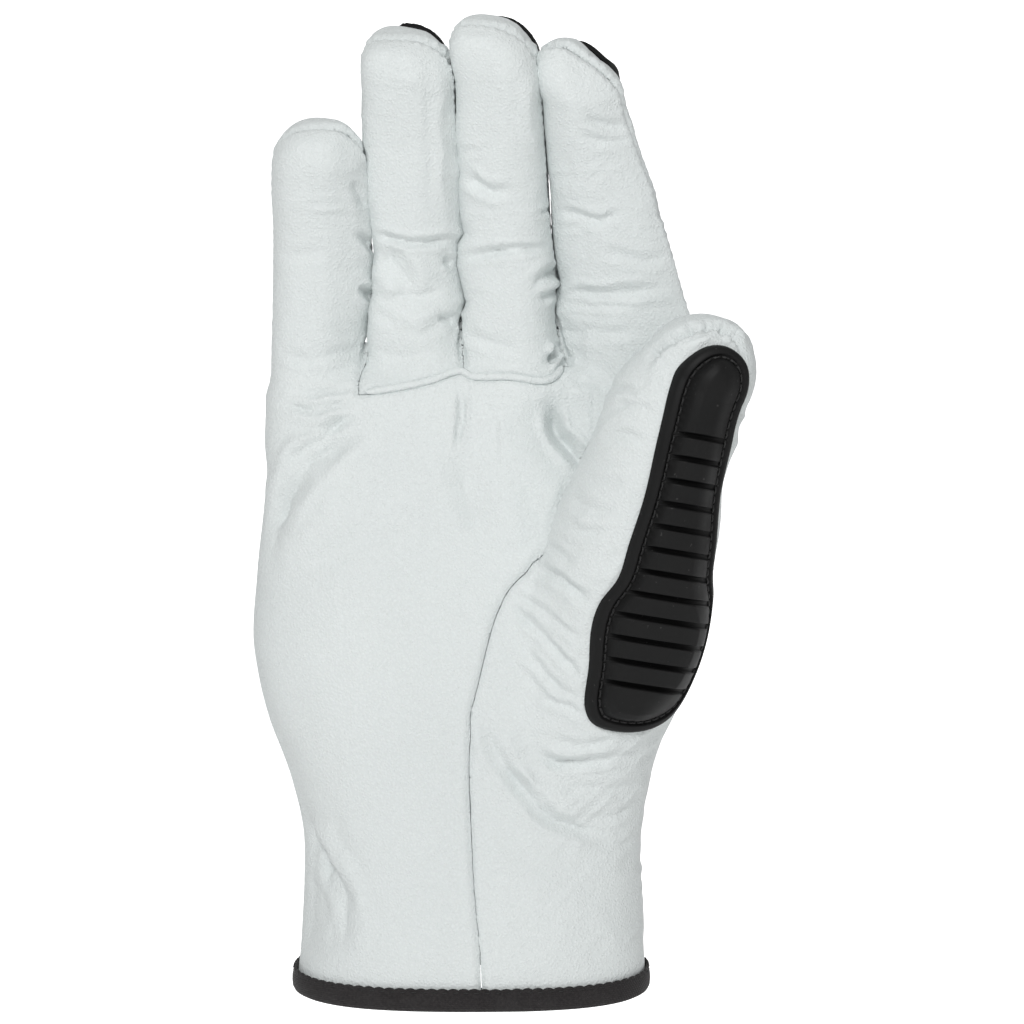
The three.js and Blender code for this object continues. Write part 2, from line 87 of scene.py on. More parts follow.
def smooth_table(places, values, count=200):
    """Values along a smooth line through a table's rows, at evenly spaced places."""
    places = np.asarray(places, float)
    values = np.asarray(values, float)
    slopes = np.gradient(values, places)
    at = np.linspace(places[0], places[-1], count)
    low = np.clip(np.searchsorted(places, at) - 1, 0, len(places) - 2)
    span = places[low + 1] - places[low]
    t = (at - places[low]) / span
    start, end = values[low], values[low + 1]
    smooth = (2 * t**3 - 3 * t**2 + 1) * start + (t**3 - 2 * t**2 + t) * span * slopes[low]
    smooth += (3 * t**2 - 2 * t**3) * end + (t**3 - t**2) * span * slopes[low + 1]
    return at, smooth


def blend(low, high, share):
    return low + (high - low) * share


def ramp(value, low, high):
    """0 below low, 1 above high, smooth between."""
    t = np.clip((value - low) / (high - low), 0.0, 1.0)
    return t * t * (3 - 2 * t)


def rounded(across, back, up, power):
    """How far out a point is, as a share of a rounded form with half sizes 1."""
    total = np.abs(across) ** power + np.abs(back) ** power
    if up is not None:
        total = total + np.maximum(up, 0.0) ** power
    return np.maximum(total, 1e-9) ** (1.0 / power)


# The hand's sections: up is a share of LENGTH, left and right of WIDTH, front and back of DEPTH.
PALM_SECTIONS = [
    {"up": 0.0, "left": -0.407, "right": 0.407, "front": -0.5, "back": 0.5},
    {"up": 0.05, "left": -0.4, "right": 0.402, "front": -0.49, "back": 0.48},
    {"up": 0.11, "left": -0.394, "right": 0.397, "front": -0.47, "back": 0.46},
    {"up": 0.17, "left": -0.398, "right": 0.391, "front": -0.45, "back": 0.44},
    {"up": 0.22, "left": -0.424, "right": 0.4, "front": -0.45, "back": 0.43},
    {"up": 0.28, "left": -0.472, "right": 0.418, "front": -0.46, "back": 0.42},
    {"up": 0.355, "left": -0.504, "right": 0.43, "front": -0.45, "back": 0.41},
    {"up": 0.44, "left": -0.493, "right": 0.46, "front": -0.42, "back": 0.39},
    {"up": 0.51, "left": -0.476, "right": 0.49, "front": -0.38, "back": 0.36},
    {"up": 0.575, "left": -0.465, "right": 0.515, "front": -0.32, "back": 0.33},
    {"up": 0.64, "left": -0.462, "right": 0.51, "front": -0.24, "back": 0.27},
    {"up": 0.7, "left": -0.46, "right": 0.5, "front": -0.2, "back": 0.22},
]
PALM_CROWN = 0.605
PALM_CROWN_HEIGHT = 11.0
PALM_POWER = 2.4

# Finger stalls: places as shares of WIDTH across and of LENGTH up, half widths as shares of WIDTH,
# bend as a share of FINGER_CURL, turn in degrees that bring the thumb's side forward,
# fore is how far it stands forward in millimetres, lean how far its tip leans to the little finger's side,
# splay how far the stall leans out for each millimetre of height while the skin is being made.
FINGERS = [
    {"name": "little", "root_across": -0.356, "tip_across": -0.337, "root_up": 0.575, "tip_up": 0.851,
     "root_wide": 0.109, "tip_wide": 0.107, "bend": 0.8, "turn": 4.0, "splay": -0.24,
     "fore": -1.2, "lean": -0.27, "dome": 0.84, "guard": (1.5, 0.0), "powers": (2.56, 1.6)},
    {"name": "ring", "root_across": -0.122, "tip_across": -0.134, "root_up": 0.59, "tip_up": 0.935,
     "root_wide": 0.106, "tip_wide": 0.107, "bend": 1.0, "turn": 12.0, "splay": -0.08,
     "fore": -0.5, "lean": 0.0, "dome": 0.92, "guard": (1.8, -0.6), "powers": (3.5, 2.04)},
    {"name": "middle", "root_across": 0.102, "tip_across": 0.066, "root_up": 0.6, "tip_up": 0.937,
     "root_wide": 0.114, "tip_wide": 0.097, "bend": 1.0, "turn": 15.0, "splay": 0.08,
     "fore": 0.4, "lean": 0.19, "dome": 1.27, "guard": (1.8, -2.2), "powers": (3.03, 2.54)},
    {"name": "index", "root_across": 0.386, "tip_across": 0.2575, "root_up": 0.6, "tip_up": 0.92,
     "root_wide": 0.199, "tip_wide": 0.0925, "bend": 0.95, "turn": 30.0, "splay": 0.24,
     "fore": 1.2, "lean": 0.31, "dome": 1.27, "guard": (1.72, 1.6), "powers": (2.3, 1.5)},
]
THUMB_POWERS = (2.0, 2.0)
SPLAY_FROM = 0.61
SPLAY_EASE = 8.0

# The thumb: across of WIDTH, fore of DEPTH, up of LENGTH, wide of THUMB_WIDTH, deep of THUMB_DEPTH.
THUMB_SECTIONS = [
    {"across": 0.241, "fore": 0.02, "up": 0.19, "wide": 0.36, "deep": 0.53},
    {"across": 0.264, "fore": -0.06, "up": 0.255, "wide": 0.43, "deep": 0.58},
    {"across": 0.292, "fore": -0.14, "up": 0.32, "wide": 0.515, "deep": 0.61},
    {"across": 0.324, "fore": -0.22, "up": 0.38, "wide": 0.56, "deep": 0.6},
    {"across": 0.35, "fore": -0.31, "up": 0.435, "wide": 0.544, "deep": 0.57},
    {"across": 0.384, "fore": -0.42, "up": 0.492, "wide": 0.497, "deep": 0.53},
    {"across": 0.419, "fore": -0.51, "up": 0.55, "wide": 0.432, "deep": 0.47},
    {"across": 0.462, "fore": -0.58, "up": 0.603, "wide": 0.414, "deep": 0.43},
    {"across": 0.511, "fore": -0.62, "up": 0.641, "wide": 0.346, "deep": 0.385},
]
THUMB_TURN = 26.0
THUMB_TIP = 0.362


def palm_tables():
    ups = [row["up"] * LENGTH for row in PALM_SECTIONS]
    tables = {}
    for side, size in (("left", WIDTH), ("right", WIDTH), ("front", DEPTH), ("back", DEPTH)):
        tables[side] = smooth_table(ups, [row[side] * size for row in PALM_SECTIONS])
    return tables


PALM = palm_tables()


def palm_depth_of(points):
    """How far outside the hand's skin each point is, without the fingers and the thumb."""
    x, y, z = points.T
    left, right, front, back = (np.interp(z, *PALM[side]) for side in ("left", "right", "front", "back"))
    off_x = x - (left + right) / 2
    off_y = y - (front + back) / 2
    crown = z - PALM_CROWN * LENGTH
    across, deep = 2 * off_x / (right - left), 2 * off_y / (back - front)
    out = rounded(across, deep, crown / PALM_CROWN_HEIGHT, PALM_POWER)
    reach = np.sqrt(off_x**2 + off_y**2 + np.maximum(crown, 0.0) ** 2)
    return reach * (1 - 1 / out)


FAR = 14.0
ROOT_CAP = 12.0


class Tube:
    """A finger stall or the thumb: a bent tube with a rounded tip."""

    def __init__(self, middles, wides, deeps, turn, tip_length, lean=0.0, powers=THUMB_POWERS):
        self.lean = lean
        self.powers = powers
        self.middles = np.asarray(middles, float)
        self.wides = np.asarray(wides, float)
        self.deeps = np.asarray(deeps, float)
        self.tip_length = tip_length
        ahead = np.gradient(self.middles, axis=0)
        self.ahead = ahead / np.linalg.norm(ahead, axis=1, keepdims=True)
        lean = math.radians(turn)
        across = np.array([math.cos(lean), -math.sin(lean), 0.0])
        across = across - self.ahead * (self.ahead @ across)[:, None]
        self.across = across / np.linalg.norm(across, axis=1, keepdims=True)
        self.back = np.cross(self.ahead, self.across)
        self.heights = self.middles[:, 2]
        steps = np.linalg.norm(np.diff(self.middles, axis=0), axis=1)
        self.along = np.concatenate([[0.0], np.cumsum(steps)])
        reach = FAR + np.maximum(self.wides, self.deeps).max()
        self.low = self.middles.min(0) - reach
        self.high = self.middles.max(0) + reach

    def pick(self, share, *tables):
        """The rows of the tube's tables at places along it."""
        for table in tables:
            yield np.stack([np.interp(share, self.along, column) for column in table.T], 1)

    def local(self, points):
        """Each point's place on the tube: share along it, across, back, and past its tip's start."""
        share = np.interp(points[:, 2], self.heights, self.along)
        for _ in range(2):
            middle, ahead = self.pick(share, self.middles, self.ahead)
            share = np.clip(share + ((points - middle) * ahead).sum(1), 0.0, self.along[-1])
        middle, *axes = self.pick(share, self.middles, self.across, self.back, self.ahead)
        off = points - middle
        return share, *((off * axis).sum(1) for axis in axes)

    def depth_of(self, points):
        """How far outside the tube each point is; far points get a plain large depth."""
        near = np.all((points > self.low) & (points < self.high), axis=1)
        depth = np.full(len(points), FAR)
        share, across, back, past = self.local(points[near])
        wide = np.interp(share, self.along, self.wides)
        deep = np.interp(share, self.along, self.deeps)
        above = np.where(share >= self.along[-1] - 1e-6, np.maximum(past, 0.0), 0.0)
        below = np.where(share <= 1e-6, np.maximum(-past, 0.0), 0.0)
        end = above / self.tip_length + below / ROOT_CAP
        across = across + self.lean * above
        power = blend(self.powers[0], self.powers[1], ramp(across / wide, -0.6, 0.6))
        out = rounded(across / wide, back / deep, end, power)
        reach = np.sqrt(across**2 + back**2 + above**2 + below**2)
        depth[near] = np.minimum(reach * (1 - 1 / out), FAR)
        return depth


def finger_tube(row):
    share = np.linspace(0.0, 1.0, 60)
    root = np.array([row["root_across"] * WIDTH, 0.02 * DEPTH, row["root_up"] * LENGTH])
    tip = np.array([row["tip_across"] * WIDTH, 0.0, row["tip_up"] * LENGTH])
    middles = root + (tip - root) * share[:, None]
    middles[:, 1] -= row["bend"] * FINGER_CURL * share**2.6 + row["fore"]
    wides = blend(row["root_wide"], row["tip_wide"], share) * WIDTH
    deeps = blend(0.54, 0.46, share) * FINGER_DEPTH
    tip_length = row["dome"] * row["tip_wide"] * WIDTH
    return Tube(middles, wides, deeps, row["turn"], tip_length, row["lean"], row["powers"])


def thumb_tube():
    steps = range(len(THUMB_SECTIONS))
    sizes = {"across": WIDTH, "fore": DEPTH, "up": LENGTH, "wide": THUMB_WIDTH, "deep": THUMB_DEPTH}
    columns = []
    for key, size in sizes.items():
        columns.append(smooth_table(steps, [row[key] * size for row in THUMB_SECTIONS], 90)[1])
    *middles, wides, deeps = columns
    return Tube(np.stack(middles, 1), wides, deeps, THUMB_TURN, THUMB_TIP * THUMB_WIDTH)


TUBES = [finger_tube(row) for row in FINGERS]
THUMB = thumb_tube()


def splay_ramp(z):
    """How far up the splay has grown at a height."""
    above = z - SPLAY_FROM * LENGTH
    eased = np.maximum(above, 0.0) ** 2 / (2 * SPLAY_EASE)
    return np.where(above < SPLAY_EASE, eased, above - SPLAY_EASE / 2)


def soft_min(a, b, reach):
    """The smaller of two depths, with a rounded inner corner."""
    near = np.maximum(reach - np.abs(a - b), 0.0) / np.maximum(reach, 1e-6)
    return np.minimum(a, b) - near**3 * reach / 6


WEB_REACH = 7.0
BALL_REACH = 9.0
THUMB_REACH = 1.5
BALL_TOP = (95.0, 125.0)


def with_thumb(hand, points):
    """The hand's depths joined with the thumb's, softly at the ball and sharply higher up."""
    reach = blend(BALL_REACH, THUMB_REACH, ramp(points[:, 2], *BALL_TOP))
    return soft_min(hand, THUMB.depth_of(points), reach)


def skin_depth(points, splayed):
    """How far outside the whole skin each point is."""
    hand = palm_depth_of(points)
    lean = splay_ramp(points[:, 2]) if splayed else np.zeros(len(points))
    for row, tube in zip(FINGERS, TUBES):
        moved = points.copy()
        moved[:, 0] -= row["splay"] * lean
        hand = soft_min(hand, tube.depth_of(moved), WEB_REACH)
    return with_thumb(hand, points)


# A mesh of the skin

SKIN_LOW = np.array([-78.0, -54.0, -4.0])
SKIN_HIGH = np.array([78.0, 32.0, 252.0])
BLOCK = 4
CORNERS = [(a, b, c) for a in (0, 1) for b in (0, 1) for c in (0, 1)]


def block_corners(values, pick):
    """The smallest or largest of each block's eight corner values."""
    parts = [values[a:values.shape[0] - 1 + a, b:values.shape[1] - 1 + b, c:values.shape[2] - 1 + c]
             for a, b, c in CORNERS]
    return pick(np.array(parts), axis=0)


def depth_grid(low, high, step, depth_of):
    """Depths on a grid, worked out finely only near the surface."""
    blocks = np.ceil((high - low) / (step * BLOCK)).astype(int)
    wide_axes = [low[i] + step * BLOCK * np.arange(blocks[i] + 1) for i in range(3)]
    places = np.stack(np.meshgrid(*wide_axes, indexing="ij"), -1)
    wide = depth_of(places.reshape(-1, 3)).reshape(places.shape[:3])
    smallest = block_corners(wide, np.min)
    largest = block_corners(wide, np.max)
    near = (smallest < 2.0) & (largest > -2.0)
    grid = np.repeat(np.repeat(np.repeat(wide, BLOCK, 0), BLOCK, 1), BLOCK, 2)
    grid = grid[: blocks[0] * BLOCK + 1, : blocks[1] * BLOCK + 1, : blocks[2] * BLOCK + 1].astype(np.float32)
    starts = np.argwhere(near) * BLOCK
    inner = np.stack(np.meshgrid(*[np.arange(BLOCK + 1)] * 3, indexing="ij"), -1).reshape(-1, 3)
    for part in np.array_split(starts, max(1, len(starts) // 2000)):
        index = (part[:, None, :] + inner[None]).reshape(-1, 3)
        grid[tuple(index.T)] = depth_of(low + index * step)
    return grid


def surface_mesh(low, high, step, depth_of):
    """Faces on the surface where the depth is 0, with one corner in each cell that it crosses."""
    depth = depth_grid(low, high, step, depth_of)
    counts = depth.shape
    inside = depth < 0
    cells = sum(inside[a:counts[0] - 1 + a, b:counts[1] - 1 + b, c:counts[2] - 1 + c].astype(np.int8)
                for a, b, c in CORNERS)
    mixed = (cells > 0) & (cells < 8)
    index = np.full(cells.shape, -1, np.int64)
    where = np.argwhere(mixed)
    index[mixed] = np.arange(len(where))
    total = np.zeros((len(where), 3))
    count = np.zeros(len(where))
    for start in CORNERS:
        for axis in range(3):
            if start[axis]:
                continue
            end = np.array(start)
            end[axis] = 1
            d0 = depth[tuple((where + start).T)]
            d1 = depth[tuple((where + end).T)]
            crossed = (d0 < 0) != (d1 < 0)
            share = np.where(crossed, d0 / np.where(crossed, d0 - d1, 1.0), 0.0)
            place = np.array(start) + share[:, None] * (end - np.array(start))
            total += place * crossed[:, None]
            count += crossed
    points = low + (where + total / count[:, None]) * step
    faces = []
    for axis in range(3):
        u, v = (axis + 1) % 3, (axis + 2) % 3
        lower = np.take(inside, range(counts[axis] - 1), axis)
        upper = np.take(inside, range(1, counts[axis]), axis)
        edges = np.argwhere(lower != upper)
        within = [(edges[:, i] > 0) & (edges[:, i] < counts[i] - 1) for i in (u, v)]
        edges = edges[within[0] & within[1]]
        ring = []
        for du, dv in ((-1, -1), (0, -1), (0, 0), (-1, 0)):
            cell = edges.copy()
            cell[:, u] += du
            cell[:, v] += dv
            ring.append(index[tuple(cell.T)])
        quads = np.stack(ring, 1)
        inward = ~lower[tuple(edges.T)]
        quads[inward] = quads[inward][:, ::-1]
        faces.append(quads)
    return points, np.concatenate(faces)


def triangles_of(quads):
    return np.concatenate([quads[:, [0, 1, 2]], quads[:, [0, 2, 3]]])


def edges_of(triangles):
    return np.concatenate([triangles[:, [0, 1]], triangles[:, [1, 2]], triangles[:, [2, 0]]])


def neighbour_mean(points, triangles, values):
    """The mean of the values at each corner's neighbours."""
    edges = edges_of(triangles)
    here = np.concatenate([edges[:, 0], edges[:, 1]])
    there = np.concatenate([edges[:, 1], edges[:, 0]])
    count = np.maximum(np.bincount(here, minlength=len(points)), 1)
    return np.stack([np.bincount(here, column[there], len(points)) / count for column in values.T], 1)


def gradient_of(depth_of, points, step=0.25):
    slope = np.empty_like(points)
    for axis in range(3):
        move = np.zeros(3)
        move[axis] = step
        slope[:, axis] = (depth_of(points + move) - depth_of(points - move)) / (2 * step)
    return slope


def settle(points, depth_of, cap=0.5):
    """Moves the corners onto the surface."""
    slope = gradient_of(depth_of, points)
    size = np.maximum((slope**2).sum(1), 0.2)
    return points - slope * np.clip(depth_of(points) / size, -cap, cap)[:, None]


def normals_of(points, triangles):
    a, b, c = (points[triangles[:, i]] for i in range(3))
    face = np.cross(b - a, c - a)
    total = [sum(np.bincount(triangles[:, corner], face[:, axis], len(points)) for corner in range(3))
             for axis in range(3)]
    normals = np.stack(total, 1)
    return normals / np.maximum(np.linalg.norm(normals, axis=1, keepdims=True), 1e-12)


def refined(points, triangles, mark):
    """Splits the marked triangles in four, and their neighbours so that no gap opens."""
    count = len(points)
    ends = np.sort(triangles[:, [[0, 1], [1, 2], [2, 0]]], axis=2)
    keys = ends[..., 0] * count + ends[..., 1]
    wanted = np.unique(keys[mark])
    split = np.isin(keys, wanted)
    middle = count + np.searchsorted(wanted, keys)
    added = (points[wanted // count] + points[wanted % count]) / 2
    amount = split.sum(1)
    made = [triangles[amount == 0]]
    for turn in range(3):
        order = [turn, (turn + 1) % 3, (turn + 2) % 3]
        one = (amount == 1) & split[:, order[0]]
        a, b, c = triangles[one][:, order].T
        m = middle[one, order[0]]
        made += [np.stack([a, m, c], 1), np.stack([m, b, c], 1)]
        two = (amount == 2) & ~split[:, order[0]]
        a, b, c = triangles[two][:, order].T
        m, n = middle[two, order[1]], middle[two, order[2]]
        made += [np.stack([a, b, m], 1), np.stack([a, m, n], 1), np.stack([n, m, c], 1)]
    full = amount == 3
    a, b, c = triangles[full].T
    m, n, o = middle[full].T
    made += [np.stack([a, m, o], 1), np.stack([m, b, n], 1), np.stack([o, n, c], 1), np.stack([m, n, o], 1)]
    return np.concatenate([points, added]), np.concatenate(made)


def clipped(columns, triangles, value):
    """The part of a triangle mesh where the value is negative, with its columns cut at 0."""
    inside = value < 0
    amount = inside[triangles].sum(1)
    cut = triangles[(amount > 0) & (amount < 3)]
    edges = np.sort(edges_of(cut), axis=1)
    edges = edges[inside[edges[:, 0]] != inside[edges[:, 1]]]
    count = len(columns)
    keys = np.unique(edges[:, 0] * count + edges[:, 1])
    a, b = keys // count, keys % count
    share = (value[a] / (value[a] - value[b]))[:, None]
    added = columns[a] * (1 - share) + columns[b] * share
    find = lambda p, q: count + np.searchsorted(keys, np.minimum(p, q) * count + np.maximum(p, q))
    made = [triangles[amount == 3]]
    for turn in range(3):
        order = [turn, (turn + 1) % 3, (turn + 2) % 3]
        p, q, r = cut[:, order].T
        one = inside[p] & ~inside[q] & ~inside[r]
        made.append(np.stack([p[one], find(p[one], q[one]), find(r[one], p[one])], 1))
        two = ~inside[p] & inside[q] & inside[r]
        m, n = find(p[two], q[two]), find(r[two], p[two])
        made += [np.stack([m, q[two], r[two]], 1), np.stack([m, r[two], n], 1)]
    return tidy_mesh(np.concatenate([columns, added]), np.concatenate(made))


def tidy_mesh(columns, triangles):
    """Drops the rows that no triangle uses."""
    used = np.unique(triangles)
    place = np.zeros(len(columns), np.int64)
    place[used] = np.arange(len(used))
    return columns[used], place[triangles]


def largest_part(columns, triangles):
    """The largest connected part of a mesh."""
    label = np.arange(len(columns))
    edges = edges_of(triangles)
    while True:
        low = label.copy()
        np.minimum.at(low, edges[:, 0], label[edges[:, 1]])
        np.minimum.at(low, edges[:, 1], label[edges[:, 0]])
        low = low[low]
        if (low == label).all():
            break
        label = low
    best = np.argmax(np.bincount(label[triangles[:, 0]]))
    return tidy_mesh(columns, triangles[label[triangles[:, 0]] == best])


def rim_loops(triangles):
    """The closed lines of corners along a mesh's open edges."""
    edges = edges_of(triangles)
    known = set(map(tuple, edges.tolist()))
    follow = {a: b for a, b in edges.tolist() if (b, a) not in known}
    loops = []
    while follow:
        start, here = follow.popitem()
        loop = [start]
        while here != start:
            loop.append(here)
            if here not in follow:
                break
            here = follow.pop(here)
        loops.append(np.array(loop))
    return loops


# Wrinkle noise

def noise(points, sizes, seed):
    """Smooth random values from -1 to 1, with lumps of about the given sizes."""
    spots = (points - SKIN_LOW + 20.0) / np.asarray(sizes, float)
    base = np.floor(spots).astype(int)
    part = spots - base
    part = part * part * (3 - 2 * part)
    table = np.random.default_rng(seed).uniform(-1, 1, base.max(0) + 2)
    value = np.zeros(len(points))
    for corner in CORNERS:
        weight = np.prod(np.where(np.array(corner), part, 1 - part), axis=1)
        value += weight * table[tuple((base + corner).T)]
    return value


# The whole skin

def finger_depths(points, lean):
    depths = []
    for row, tube in zip(FINGERS, TUBES):
        moved = points.copy()
        moved[:, 0] -= row["splay"] * lean
        depths.append(tube.depth_of(moved))
    return np.array(depths)


def make_skin():
    """The skin's mesh: it is made with the fingers apart, and they are closed up at the end."""
    splayed = lambda points: skin_depth(points, True)
    points, quads = surface_mesh(SKIN_LOW, SKIN_HIGH, MESH_STEP, splayed)
    triangles = triangles_of(quads)
    points = settle(points, splayed)
    for _ in range(2):
        points = blend(points, neighbour_mean(points, triangles, points), 0.5)
        points = settle(points, splayed)
    coarse = close_up(points), triangles
    normals = normals_of(points, triangles)
    front = (normals[triangles, 1].mean(1) < 0.3) & (points[triangles, 2].mean(1) > 0)
    points, triangles = refined(points, triangles, front)
    points = settle(points, splayed)
    return coarse, (close_up(points), triangles)


# How far apart the fingers' sides stay where they touch, and how softly a web belongs to both its fingers
TOUCH = 0.15
WEB_SOFT = 1.2


def close_up(points):
    """Brings the splayed fingers back together, touching along their sides."""
    lean = splay_ramp(points[:, 2])
    depths = finger_depths(points, lean)
    weights = np.exp(-np.clip(depths - depths.min(0), 0, 60) / WEB_SOFT)
    weights /= weights.sum(0)
    splay = (weights * np.array([row["splay"] for row in FINGERS])[:, None]).sum(0)
    closed = points.copy()
    closed[:, 0] -= splay * lean
    own = depths.argmin(0)
    for index, tube in enumerate(TUBES):
        other = np.flatnonzero((np.abs(own - index) == 1) & (points[:, 2] > 150.0))
        spots = closed[other]
        depth = tube.depth_of(spots)
        inner = depth < TOUCH
        slope = gradient_of(tube.depth_of, spots[inner])
        slope /= np.maximum(np.linalg.norm(slope, axis=1, keepdims=True), 1e-6)
        closed[other[inner]] += slope * ((TOUCH - depth[inner]) / 2)[:, None]
    return np.concatenate([closed, weights.T, depths.min(0)[:, None]], axis=1)


# Folds and creases of the palm side

